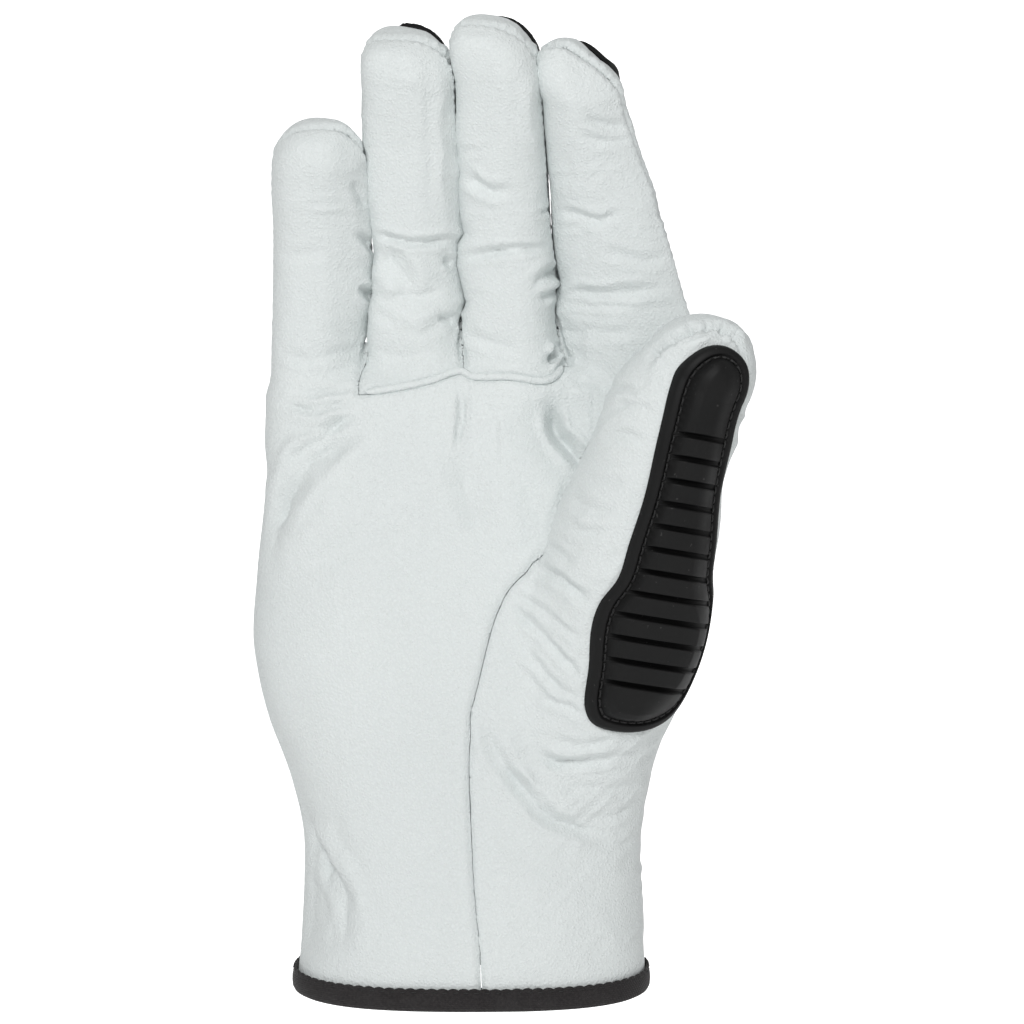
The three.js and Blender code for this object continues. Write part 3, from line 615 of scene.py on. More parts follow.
# Each fold has the part of the glove it is on, how far a valley goes in (a ridge is negative), its half
# width and the places (x, z) of its line, in millimetres.
FOLDS = [
    ("ring", 0.8, 0.9, (-24.9, 189.0), (-19.7, 187.7), (-12.3, 187.0), (-3.7, 187.7)),
    ("ring", 1.0, 2.2, (-23.1, 184.5), (-18.0, 180.6), (-13.8, 176.1)),
    ("ring", 0.7, 1.9, (-22.5, 170.6), (-16.5, 174.4), (-11.0, 175.0), (-5.5, 176.8)),
    ("ring", -0.6, 1.8, (-17.0, 166.3), (-11.1, 169.2), (-5.5, 171.2)),
    ("ring", -0.3, 1.3, (-7.4, 230.4), (-7.2, 210.6), (-7.4, 190.4)),
    ("ring", 0.8, 1.0, (-6.0, 183.0), (-3.5, 181.6)),
    ("ring", 0.8, 1.0, (-7.4, 169.2), (-3.3, 168.2)),
    ("ring", 0.4, 1.3, (-24.1, 169.2), (-17.7, 167.5)),
    ("ring", 0.3, 1.5, (-24.1, 160.8), (-17.3, 159.4), (-7.4, 161.3)),
    ("middle", 0.8, 0.9, (-2.0, 183.1), (4.9, 185.0), (12.2, 185.5), (20.1, 184.8)),
    ("middle", 0.9, 1.2, (-1.8, 203.7), (2.2, 201.3), (5.8, 200.0), (10.2, 200.3)),
    ("middle", 1.3, 1.2, (14.9, 177.1), (18.6, 179.1), (21.8, 181.1)),
    ("middle", 0.7, 0.9, (17.1, 173.7), (21.5, 175.7)),
    ("middle", 2.0, 0.8, (18.3, 158.7), (20.1, 159.4), (22.0, 161.4)),
    ("middle", -0.3, 1.4, (14.7, 229.1), (14.2, 218.0), (16.1, 206.9)),
    ("middle", 0.35, 1.5, (-2.0, 166.3), (4.9, 162.6), (12.2, 161.9)),
    ("middle", 0.5, 0.9, (17.1, 194.4), (20.3, 195.4)),
    ("little", 0.9, 1.0, (-29.2, 189.4), (-26.5, 187.4), (-24.0, 184.0)),
    ("little", 0.9, 1.0, (-29.7, 176.5), (-27.2, 175.3), (-24.3, 173.1)),
    ("little", 0.6, 1.2, (-28.5, 203.3), (-26.8, 199.3), (-25.3, 194.9)),
    ("little", 0.5, 1.3, (-48.2, 160.7), (-39.6, 158.7), (-26.8, 160.7)),
    ("little", 0.25, 1.4, (-48.5, 185.9), (-42.0, 184.5), (-34.6, 185.9)),
    ("index", 0.6, 0.9, (21.0, 194.9), (26.7, 193.6), (32.1, 192.7), (37.7, 194.9)),
    ("index", 0.45, 0.9, (22.8, 191.2), (29.9, 191.9), (34.8, 190.9)),
    ("index", 1.0, 1.1, (22.0, 173.4), (27.7, 174.7), (38.9, 175.2), (47.0, 176.2)),
    ("index", 0.5, 0.9, (22.0, 171.5), (29.4, 172.2), (41.6, 172.5)),
    ("index", 0.4, 1.3, (31.8, 185.3), (41.6, 183.1), (48.5, 184.0)),
    ("index", 0.45, 1.1, (27.7, 217.8), (33.3, 216.1), (38.9, 215.6)),
    ("index", 0.3, 1.0, (26.7, 212.6), (39.9, 212.4)),
    ("index", 0.4, 1.3, (21.0, 166.3), (31.8, 164.8), (41.6, 166.3)),
    ("palm", 1.3, 2.3, (-28.1, 144.1), (-39.3, 133.1), (-47.1, 121.8), (-49.3, 109.6)),
    ("palm", -0.75, 4.5, (-17.1, 143.2), (-31.5, 128.7), (-42.2, 113.0), (-46.9, 105.2)),
    ("palm", 0.7, 1.2, (-28.8, 146.4), (-40.3, 137.5), (-47.1, 130.2)),
    ("palm", 0.6, 0.9, (-47.1, 147.6), (-38.1, 146.4), (-26.6, 148.3)),
    ("palm", 0.6, 1.0, (-47.6, 141.5), (-37.1, 142.4), (-26.6, 145.9)),
    ("palm", 0.45, 0.8, (-43.7, 149.8), (-34.2, 150.3), (-26.6, 150.8)),
    ("palm", 0.35, 0.8, (-47.9, 138.3), (-41.5, 140.5), (-31.7, 143.4)),
    ("palm", 0.4, 3.0, (-47.1, 108.6), (-34.9, 110.1), (-21.5, 115.0), (-12.2, 117.4)),
    ("palm", 0.8, 0.6, (-3.2, 152.2), (-2.9, 145.4), (-3.7, 137.0)),
    ("palm", 0.6, 0.5, (-2.0, 152.2), (-2.0, 141.5)),
    ("palm", 0.7, 3.0, (-2.7, 137.5), (-0.5, 125.3), (3.9, 115.0)),
    ("palm", 1.9, 1.5, (20.3, 148.8), (21.5, 141.9), (25.4, 136.5), (27.6, 132.1)),
    ("palm", 0.7, 5.0, (15.9, 150.5), (18.3, 141.9), (21.0, 133.4)),
    ("palm", 0.5, 3.0, (12.9, 131.9), (16.6, 119.9), (15.6, 110.1)),
    ("palm", 0.6, 1.0, (24.9, 153.7), (29.8, 152.7), (33.7, 151.3)),
    ("ball", 0.6, 0.9, (8.5, 100.0), (15.1, 94.6), (22.9, 86.8), (27.8, 81.2)),
    ("ball", 0.4, 0.9, (9.3, 102.2), (17.3, 97.8), (28.2, 91.9)),
    ("ball", 0.6, 1.0, (12.9, 89.0), (18.3, 82.4), (26.0, 76.8)),
    ("ball", 0.5, 0.9, (17.3, 76.8), (23.9, 74.6), (28.7, 71.7)),
    ("ball", 0.8, 1.2, (15.1, 109.0), (22.4, 105.6), (29.7, 101.2)),
    ("ball", 0.5, 0.9, (19.0, 114.1), (24.8, 110.0)),
    ("ball", 0.3, 1.0, (6.4, 91.0), (12.2, 83.1), (19.5, 76.3)),
    ("ball", 1.1, 1.6, (1.3, 71.9), (5.1, 65.3), (12.2, 54.3), (20.9, 45.6), (36.0, 41.7)),
    ("ball", -0.6, 2.6, (5.4, 67.0), (12.2, 58.7), (21.9, 51.9), (31.6, 50.4)),
    ("ball", 0.9, 1.1, (14.6, 63.6), (21.9, 59.7), (31.6, 60.7), (41.4, 61.7)),
    ("ball", 0.45, 1.1, (19.0, 66.5), (27.8, 64.6), (37.0, 66.1)),
    ("ball", 0.5, 1.2, (21.9, 54.3), (31.6, 52.9), (40.4, 54.3)),
    ("ball", 0.4, 1.1, (25.6, 47.5), (33.1, 46.1), (40.9, 48.0)),
    ("ball", 0.35, 1.2, (29.2, 39.7), (36.5, 38.2), (41.4, 39.7)),
    ("ball", 0.2, 2.0, (7.3, 39.7), (17.1, 34.3), (29.2, 32.4)),
    ("ball", 0.3, 2.2, (3.4, 34.8), (3.9, 22.6), (4.9, 11.6)),
    ("thumb", 0.7, 0.7, (42.3, 157.5), (44.5, 161.5), (48.2, 165.0), (52.2, 166.9), (56.0, 167.5)),
    ("thumb", 0.7, 0.7, (54.0, 167.4), (57.5, 167.4), (61.0, 166.4), (64.0, 164.0), (66.2, 159.5)),
    ("thumb", -0.35, 1.3, (44.5, 157.0), (48.5, 161.8), (52.5, 163.8), (57.0, 164.3), (61.0, 162.8)),
    ("thumb", 0.35, 0.5, (43.5, 162.4), (46.3, 159.8)),
    ("thumb", 0.35, 0.5, (47.4, 166.6), (49.4, 163.1)),
    ("thumb", 0.3, 0.5, (51.8, 168.6), (52.9, 164.8)),
    ("thumb", 0.3, 0.5, (56.0, 169.2), (56.1, 165.2)),
    ("thumb", 0.3, 0.5, (60.5, 168.4), (59.3, 164.8)),
    ("thumb", 0.3, 0.5, (64.5, 166.0), (62.3, 162.9)),
    ("thumb", 0.5, 1.1, (33.8, 148.1), (39.1, 149.1), (43.9, 147.1)),
    ("thumb", 0.4, 1.2, (30.9, 140.4), (36.7, 141.8), (42.0, 140.4)),
    ("thumb", 0.4, 1.0, (32.4, 152.0), (36.2, 152.4), (41.0, 151.0)),
    ("thumb", 0.5, 1.3, (24.2, 125.9), (30.5, 123.0), (35.7, 123.5)),
    ("thumb", 0.45, 1.2, (22.3, 120.1), (28.5, 118.1), (34.3, 118.6)),
    ("thumb", 0.3, 1.2, (26.6, 131.2), (31.9, 129.7), (38.2, 130.7)),
    ("palm", 1.0, 2.2, (-42.2, 44.4), (-39.3, 34.6), (-33.7, 29.2), (-31.3, 21.8), (-32.2, 11.5)),
    ("palm", -0.6, 2.4, (-40.0, 45.8), (-35.2, 35.1), (-29.3, 26.7)),
    ("palm", 0.45, 0.9, (-41.8, 43.1), (-40.0, 36.0), (-37.6, 28.7)),
    ("palm", 0.3, 1.6, (-41.5, 26.7), (-37.1, 21.8), (-34.2, 12.0)),
]

# Broad hollows of the palm side in millimetres: middle (x, z), half width, half height and depth
HOLLOWS = [
    (-6.0, 108.0, 20.0, 32.0, 2.2),
    (24.0, 143.0, 5.5, 12.0, 3.2),
    (2.0, 136.0, 5.0, 18.0, 0.8),
    (0.0, 40.0, 9.0, 30.0, 1.0),
    (-40.5, 24.0, 8.0, 24.0, 3.0),
    (-48.0, 66.0, 12.0, 22.0, 1.5),
    (-30.0, 100.0, 10.0, 16.0, -1.0),
]

# The lines where two fingers touch, in millimetres: x at the top and at the bottom, and rows of a height
# and how far the line swerves to the right there.
BORDERS = [
    {"top": -27.6, "bottom": -27.6,
     "rows": [(216.0, 0.0), (210.7, -0.4), (200.1, 0.2), (193.0, 1.2), (184.2, 2.0), (180.6, 1.6),
              (175.3, 1.8), (170.9, 0.7), (164.7, 0.0), (152.0, 0.0)]},
    {"top": -4.4, "bottom": -4.0,
     "rows": [(216.0, 0.0), (210.7, 0.2), (204.1, 0.9), (202.4, 0.4), (193.0, 0.5), (189.5, 1.3),
              (187.0, -0.3), (181.5, -0.8), (178.0, 0.0), (172.6, 1.3), (169.4, 0.1), (162.8, 0.0),
              (157.5, 1.0), (152.0, 0.0)]},
    {"top": 15.4, "bottom": 21.5,
     "rows": [(190.0, 0.0), (183.0, 0.3), (178.0, 0.9), (174.5, -0.2), (170.0, -0.9), (164.0, -0.4),
              (158.0, 0.5), (152.0, 0.0)]},
]
SWERVE_REACH = 6.0


def swerve(x, z):
    """How far the touching sides of the fingers are moved to the right."""
    moved = np.zeros(len(x))
    for border in BORDERS:
        middle = blend(border["bottom"], border["top"], ramp(z, 150.0, 225.0))
        rows = np.array(border["rows"])[::-1]
        moved += np.interp(z, rows[:, 0], rows[:, 1]) * np.exp(-(((x - middle) / SWERVE_REACH) ** 2))
    return moved


def line_distance(x, z, line):
    """Each place's distance to a line in the palm's plane, and the share of the line passed there."""
    line = np.asarray(line, float)
    lengths = np.linalg.norm(np.diff(line, axis=0), axis=1)
    passed = np.concatenate([[0.0], np.cumsum(lengths)]) / lengths.sum()
    best = np.full(len(x), 1e9)
    share = np.zeros(len(x))
    for (ax, az), (bx, bz), low, high in zip(line[:-1], line[1:], passed[:-1], passed[1:]):
        dx, dz = bx - ax, bz - az
        t = np.clip(((x - ax) * dx + (z - az) * dz) / (dx * dx + dz * dz), 0, 1)
        distance = np.hypot(x - ax - t * dx, z - az - t * dz)
        closer = distance < best
        best[closer] = distance[closer]
        share[closer] = (low + (high - low) * t)[closer]
    return best, share


def smooth_line(places, count):
    """A smooth line through places, as a table of x and z."""
    places = np.asarray(places, float)
    steps = range(len(places))
    return np.stack([smooth_table(steps, places[:, i], count)[1] for i in (0, 1)], 1)


FOLD_DEEP = 2.0
FOLD_REACH = 9


def fold_height(x, z, deep, wide, places):
    """How far one fold or ridge moves the leather out or in."""
    line = smooth_line(places, 12) if len(places) > 2 else places
    distance, share = line_distance(x, z, line)
    taper = 0.12 + 0.88 * ramp(np.minimum(share, 1 - share), 0.0, 0.28)
    valley = np.exp(-((distance / wide) ** 1.35))
    lips = 0.35 * np.exp(-(((distance - 2.1 * wide) / (0.9 * wide)) ** 2))
    return -FOLD_DEEP * deep * taper * (valley - lips)


def part_shares(columns, thumb):
    """How much each corner belongs to each part of the glove."""
    z = columns[:, 2]
    on_thumb = ramp(-thumb, -1.5, 1.5)
    shares = {"ball": ramp(columns[:, 0] - thumb_seam_x(z), -0.5, 1.0)}
    above = ramp(z, 147.0, 156.0) * (1 - on_thumb)
    for index, row in enumerate(FINGERS):
        shares[row["name"]] = columns[:, 3 + index] * above
    shares["palm"] = (1 - on_thumb) * (1 - 0.7 * above)
    shares["thumb"] = on_thumb
    return shares


# The thumb's seam down the palm, as shares of WIDTH across and of LENGTH up, from the top
THUMB_SEAM = [
    (0.26, 0.56), (0.18, 0.475), (0.133, 0.443), (0.1, 0.428), (0.078, 0.414), (0.056, 0.391),
    (0.04, 0.366), (0.029, 0.346), (0.018, 0.325), (0.006, 0.305), (0.001, 0.288), (-0.002, 0.22),
    (0.004, 0.15), (0.02, 0.06), (0.03, -0.02),
]
# The seam at the roots of the ring and middle fingers, as shares of WIDTH across and of LENGTH up
ROOT_SEAM = [
    (-0.246, 0.6165), (-0.161, 0.6225), (-0.093, 0.6287), (-0.029, 0.638), (0.01, 0.6328), (0.091, 0.6328),
    (0.159, 0.6287), (0.194, 0.633), (0.212, 0.645),
]


def thumb_seam_line():
    return smooth_line([(x * WIDTH, z * LENGTH) for x, z in THUMB_SEAM], 120)


def root_seam_line():
    return smooth_line([(x * WIDTH, z * LENGTH) for x, z in ROOT_SEAM], 80)


def thumb_seam_x(z):
    line = thumb_seam_line()[::-1]
    return np.interp(z, line[:, 1], line[:, 0])


def root_seam_z(x):
    line = root_seam_line()
    return np.interp(x, line[:, 0], line[:, 1])


SIDE_SEAM = [(-0.05, 0.12), (0.3, 0.12), (0.6, 0.07), (0.72, 0.06)]
STALL_SEAM = (0.25, 0.02)
TIP_SEAM = -0.17


def side_seam(columns):
    """Negative in front of the seams down the glove's sides and along the fingers' sides."""
    points = columns[:, :3]
    z = points[:, 2]
    table = np.array(SIDE_SEAM)
    hand = points[:, 1] - np.interp(z / LENGTH, table[:, 0], table[:, 1]) * DEPTH
    stall = np.zeros(len(points))
    for index, tube in enumerate(TUBES):
        near = columns[:, 3 + index] > 0.01
        share, across, back, past = tube.local(points[near])
        along = share / tube.along[-1]
        tip = np.clip(np.where(along > 0.999, past, 0.0) / tube.tip_length, 0, 1)
        seam = np.where(tip > 0, blend(STALL_SEAM[1], TIP_SEAM, tip), blend(*STALL_SEAM, along))
        deep = np.interp(share, tube.along, tube.deeps)
        stall[near] += columns[near, 3 + index] * (back - seam * deep)
    return blend(hand, stall, ramp(z, 0.6 * LENGTH, 0.67 * LENGTH))


def add_measures(skin):
    """Adds to each corner the measures by which the skin is cut into panels and folded."""
    columns, triangles = skin
    points = columns[:, :3]
    x, z = points[:, 0], points[:, 2]
    hand = np.minimum(palm_depth_of(points), columns[:, 7])
    tube = np.clip(THUMB.depth_of(points) - hand, -9.0, 9.0)
    side = side_seam(columns)
    seam = thumb_seam_line()
    distance, _ = line_distance(x, z, seam)
    beyond = np.where(x > thumb_seam_x(z), -distance, distance)
    beyond = np.where(z > seam[0, 1], 9.0, beyond)
    thumb = np.minimum(tube, np.maximum(beyond, side))
    root = z - root_seam_z(x)
    weights = columns[:, 3:7]
    long = weights[:, 1] + weights[:, 2]
    outer = (weights[:, 0] + weights[:, 3] - long) * 2.0
    outer = np.where(z > 150.0, outer, 2.0)
    return np.concatenate([columns, np.stack([side, thumb, root, outer, tube], 1)], 1), triangles


SIDE, THUMB_SIDE, ROOT, OUTER, TUBE = 8, 9, 10, 11, 12


def fold_skin(skin, normals):
    """The skin with the folds, creases and wrinkles of worn leather."""
    columns, triangles = skin
    points = columns[:, :3]
    x, y, z = points.T
    facing = ramp(-normals[:, 1], -0.15, 0.35)
    shares = part_shares(columns, columns[:, TUBE])
    fingers = shares["little"] + shares["ring"] + shares["middle"] + shares["index"]
    facing = blend(facing, ramp(-normals[:, 1], -0.2, 0.45), np.clip(fingers, 0, 1))
    facing = blend(facing, ramp(-normals[:, 1], -0.5, 0.15), shares["thumb"])
    rise = np.zeros(len(points))
    bent_x = x + 0.8 * noise(points, (6.5, 9, 6.5), 10) + 0.3 * noise(points, (2.6, 9, 2.6), 11)
    bent_z = z + 0.8 * noise(points, (6.5, 9, 6.5), 12) + 0.3 * noise(points, (2.6, 9, 2.6), 13)
    uneven = 0.9 + 0.4 * noise(points, (5, 9, 5), 14)
    for part, deep, wide, *places in FOLDS:
        line = np.array(places)
        near = shares[part] > 0.02
        for axis, value in ((0, x), (1, z)):
            near &= (value > line[:, axis].min() - FOLD_REACH) & (value < line[:, axis].max() + FOLD_REACH)
        height = fold_height(bent_x[near], bent_z[near], deep, wide, places)
        rise[near] += height * (uneven * shares[part] * facing)[near]
    for middle_x, middle_z, wide, high, deep in HOLLOWS:
        off = ((x - middle_x) / wide) ** 2 + ((z - middle_z) / high) ** 2
        rise -= deep * np.exp(-off) * facing * shares["palm"]
    soft = 0.6 * noise(points, (16, 16, 14), 3) + 0.22 * noise(points, (8, 8, 7), 4)
    cross = 1 - 2 * np.abs(noise(points, (9, 9, 3.2), 5))
    cross = cross * ramp(noise(points, (12, 12, 9), 6), -0.1, 0.6)
    slant = np.stack([x * 0.75 + z * 0.66, y, z * 0.75 - x * 0.66], 1)
    crossing = 1 - 2 * np.abs(noise(slant, (10, 9, 3.4), 7))
    crossing = crossing * ramp(noise(points, (14, 14, 12), 8), -0.1, 0.6)
    fine = 1 - 2 * np.abs(noise(points, (3.4, 3.4, 1.7), 9))
    rise += soft * (0.35 + 0.45 * fingers + 0.3 * shares["ball"])
    rise += 0.28 * cross * fingers + 0.3 * crossing * (shares["ball"] + 0.8 * shares["thumb"])
    rise += 0.04 * fine * (0.4 + fingers)
    hem = ramp(z, 2.0, 16.0)
    under = guard_press(points, normals)
    rise = rise * hem * (1 - under) - 0.35 * under
    moved = columns.copy()
    moved[:, :3] = points + normals * rise[:, None]
    moved[:, 0] += swerve(x, z) * ramp(z, 147.0, 158.0) * ramp(-y, -12.0, 0.0)
    return moved, triangles


# Guards: plates moulded to the leather

GUARD_SLOPE = 10.5
GROOVE_HALF = 0.55
THUMB_GUARD_LENGTH = 95.0
THUMB_GUARD_WIDTH = 34.0
THUMB_GUARD_MIDDLE = 0.278 * WIDTH
THUMB_GUARD_FOOT = 0.279 * LENGTH
# The thumb guard's outline from its foot up: along is a share of its length, left and right of its width
THUMB_GUARD_ROWS = [
    (0.0, -0.23, 0.02), (0.025, -0.43, 0.22), (0.07, -0.495, 0.35), (0.18, -0.5, 0.47),
    (0.28, -0.508, 0.5), (0.345, -0.48, 0.45), (0.41, -0.4, 0.355), (0.5, -0.365, 0.325),
    (0.63, -0.295, 0.3), (0.78, -0.243, 0.3), (0.9, -0.175, 0.37), (0.96, -0.1, 0.335),
    (1.0, 0.05, 0.2),
]
THUMB_GROOVES = [0.115 + 0.06 * index for index in range(12)]
HAND_GUARD_LENGTH = 62.0
HAND_GUARD_WIDTH = 66.0
HAND_GUARD_FOOT = 0.34 * LENGTH
HAND_GUARD_ROWS = [
    (-0.28, 0.0), (0.28, 0.0), (0.42, 0.12), (0.47, 0.37), (0.5, 0.62), (0.46, 0.94), (0.36, 1.0),
    (0.0, 1.01), (-0.36, 1.0), (-0.46, 0.94), (-0.5, 0.62), (-0.47, 0.37), (-0.42, 0.12),
]
HAND_GROOVES = [0.2, 0.51, 0.82]
FINGER_GUARD_WIDTH = 14.0
FINGER_GUARD_FOOT = 0.26
FINGER_GROOVES = [0.4, 0.64, 0.88]
FLANGE_WIDE = 2.1
CHANNEL_WIDE = 1.0
CHAMFER_WIDE = 1.7
CHANNEL_RISE = 0.55
PAD_WALL = 0.3


def closed_curve(places, count):
    """A smooth closed line through places."""
    places = np.asarray(places, float)
    ring = np.concatenate([places[-3:], places, places[:3]])
    steps = np.concatenate([[0.0], np.cumsum(np.sqrt(np.linalg.norm(np.diff(ring, axis=0), axis=1)))])
    at = np.linspace(steps[3], steps[len(places) + 3], count, endpoint=False)
    line = []
    for column in ring.T:
        spots, values = smooth_table(steps, column, 2000)
        line.append(np.interp(at, spots, values))
    return np.stack(line, 1)


def inside_distance(places, outline):
    """How far inside a closed outline each place is; negative outside."""
    best = np.full(len(places), 1e9)
    crossings = np.zeros(len(places), bool)
    for (ax, ay), (bx, by) in zip(outline, np.roll(outline, -1, axis=0)):
        dx, dy = bx - ax, by - ay
        px, py = places[:, 0] - ax, places[:, 1] - ay
        t = np.clip((px * dx + py * dy) / (dx * dx + dy * dy), 0, 1)
        best = np.minimum(best, np.hypot(px - t * dx, py - t * dy))
        spans = (ay > places[:, 1]) != (by > places[:, 1])
        if spans.any():
            crossings ^= spans & (px < dx * py / (dy if dy else 1e-9))
    return np.where(crossings, best, -best)


def thumb_guard_edges():
    """The thumb guard's left and right edges off its middle, and their heights."""
    along, left, right = np.array(THUMB_GUARD_ROWS).T
    return left * THUMB_GUARD_WIDTH, right * THUMB_GUARD_WIDTH, THUMB_GUARD_FOOT + along * THUMB_GUARD_LENGTH


def thumb_guard_outline():
    left, right, up = thumb_guard_edges()
    right_side = np.stack([THUMB_GUARD_MIDDLE + right, up], 1)
    left_side = np.stack([THUMB_GUARD_MIDDLE + left, up], 1)
    return closed_curve(np.concatenate([right_side, left_side[::-1]]), 160)


def hand_guard_outline():
    across, along = np.array(HAND_GUARD_ROWS).T
    up = HAND_GUARD_FOOT + along * HAND_GUARD_LENGTH
    return closed_curve(np.stack([across * HAND_GUARD_WIDTH, up], 1), 160)


def guard_axes(turn):
    """A flat guard's own axes: to its right, and from outside towards the glove."""
    lean = math.radians(turn)
    return np.array([math.cos(lean), math.sin(lean), 0.0]), np.array([-math.sin(lean), math.cos(lean), 0.0])


def guard_press(points, normals):
    """1 on the leather under the guards, falling to 0 just outside them."""
    right, inward = guard_axes(THUMB_TURN)
    press = np.zeros(len(points))
    thumb = (points[:, 0] > 5.0) & ((points[:, 2] < 105.0) | (THUMB.depth_of(points) < 1.5))
    sides = [
        (points @ right, -(normals @ inward) > 0.0, thumb, thumb_guard_outline()),
        (-points[:, 0], normals[:, 1] > 0.0, points[:, 1] > 5.0, hand_guard_outline()),
    ]
    for across, facing, place, outline in sides:
        spots = np.stack([across, points[:, 2]], 1)
        near = facing & place & (spots > outline.min(0) - 3).all(1) & (spots < outline.max(0) + 3).all(1)
        press[near] = np.maximum(press[near], ramp(inside_distance(spots[near], outline), -1.2, 0.4))
    for row, tube in zip(FINGERS, TUBES):
        top, aside = row["guard"]
        near = (points[:, 2] > 150.0) & (tube.depth_of(points) < 2.0)
        share, across, back, past = tube.local(points[near])
        along = share / tube.along[-1] + np.where(share > tube.along[-1] - 1e-6, past / tube.tip_length, 0.0)
        across = across + tube.lean * np.maximum(np.where(share > tube.along[-1] - 1e-6, past, 0.0), 0.0)
        within = ramp(FINGER_GUARD_WIDTH / 2 + 0.6 - np.abs(across + aside), 0.0, 0.8) * (back > 0)
        within *= ramp(along, FINGER_GUARD_FOOT - 0.01, FINGER_GUARD_FOOT + 0.01)
        press[near] = np.maximum(press[near], within * ramp(-along, -top - 0.05, -top + 0.1))
    return press


def pad_profile(inner, rise):
    """A guard's height over the leather by the distance inside its outline."""
    start = FLANGE_WIDE + CHANNEL_WIDE
    top = start + PAD_WALL
    places = [0.0, 0.08, 0.25, 0.5, 0.8, FLANGE_WIDE - 0.3, FLANGE_WIDE, FLANGE_WIDE + 0.2, start,
              top, top + 0.25, top + CHAMFER_WIDE, 50.0]
    heights = [0.0, 0.55, 1.0, 1.3, 1.45, 1.5, 1.25, CHANNEL_RISE, CHANNEL_RISE, rise - 1.2,
               rise - 0.85, rise, rise]
    return np.interp(inner, places, heights)


def sloped_profile(inner, rise):
    """The same on the side that turns away, where the pad's face runs flat down to the channel."""
    start = FLANGE_WIDE + CHANNEL_WIDE
    places = [0.0, start, start + 0.25, start + 0.9, start + 7.0, 50.0]
    heights = [CHANNEL_RISE, CHANNEL_RISE, 1.2, 1.6, rise, rise]
    return np.interp(inner, places, heights)


def thumb_guard_share(spots):
    """How far from its left edge to its right edge each place on the thumb guard is."""
    left, right, up = thumb_guard_edges()
    left = np.interp(spots[:, 1], up, left)
    right = np.interp(spots[:, 1], up, right)
    return (spots[:, 0] - THUMB_GUARD_MIDDLE - left) / np.maximum(right - left, 1.0)


def groove_limit(offset, half, floor):
    """The height that a groove leaves at a distance from its middle line."""
    return floor + np.clip((np.abs(offset) - half) / 0.22, 0.0, 1.0) * 9.0


def plate_grid(low, high, rows, step):
    """Corners (across, up) and triangles of a flat grid."""
    columns = np.linspace(low, high, int((high - low) / step) + 2)
    a, v = np.meshgrid(columns, rows)
    count, wide = a.shape
    index = np.arange(count * wide).reshape(count, wide)
    ring = index[:-1, :-1], index[:-1, 1:], index[1:, 1:], index[1:, :-1]
    quads = np.stack(ring, -1).reshape(-1, 4)
    return np.stack([a.ravel(), v.ravel()], 1), triangles_of(quads)


def grid_rows(low, high, step, middles, half):
    """Even rows, with extra rows at the edges of grooves."""
    rows = np.arange(low, high + step, step)
    edges = np.array([m + side * off for m in middles for side in (-1, 1) for off in (half, half + 0.22)])
    if len(edges):
        gap = np.abs(rows[:, None] - edges[None]).min(1)
        rows = np.concatenate([rows[gap > 0.12], edges])
    return np.sort(rows)


def landed(origins, directions, heights, depth_of, reach=60.0):
    """The places along lines, from outside inwards, where the depth equals the given heights."""
    passed = np.zeros(len(origins))
    for _ in range(46):
        off = depth_of(origins + directions * passed[:, None]) - heights
        passed = np.clip(passed + 0.5 * off, 0.0, reach)
    return origins + directions * passed[:, None]


def thumb_ball_depth(points):
    return with_thumb(palm_depth_of(points), points)


def flat_guard(outline, axes, reach, grooves, slope, rise, depth_of, step, share_of=None):
    """A guard over a flat outline, moulded onto the leather."""
    right, inward = axes
    low, high = outline.min(0), outline.max(0)
    middle = (low[0] + high[0]) / 2
    lean = math.tan(math.radians(slope))
    spread = (high[0] - low[0]) / 2 * lean
    rows = grid_rows(low[1] - spread - 1, high[1] + spread + 1, step, grooves, GROOVE_HALF)
    grid, triangles = plate_grid(low[0] - 0.5, high[0] + 0.5, rows, step)
    spots = grid.copy()
    spots[:, 1] -= (grid[:, 0] - middle) * lean
    inner = inside_distance(spots, outline)
    columns, triangles = clipped(np.column_stack([grid, spots, inner]), triangles, -inner)
    grid, spots, inner = columns[:, :2], columns[:, 2:4], np.maximum(columns[:, 4], 0.0)
    height = pad_profile(inner, rise)
    if share_of is not None:
        sloped = np.minimum(height, sloped_profile(inner, rise))
        height = blend(height, sloped, ramp(share_of(spots), 0.35, 0.75))
    for groove in grooves:
        height = np.minimum(height, groove_limit(grid[:, 1] - groove, GROOVE_HALF, CHANNEL_RISE))
    flange = pad_profile(np.minimum(inner, FLANGE_WIDE), rise)
    height = np.where(inner < FLANGE_WIDE, flange, height)
    origins = right * spots[:, :1] + np.array([0.0, 0.0, 1.0]) * spots[:, 1:2] - inward * reach
    points = landed(origins, np.broadcast_to(inward, origins.shape), height, depth_of, 2 * reach)
    return points, triangles


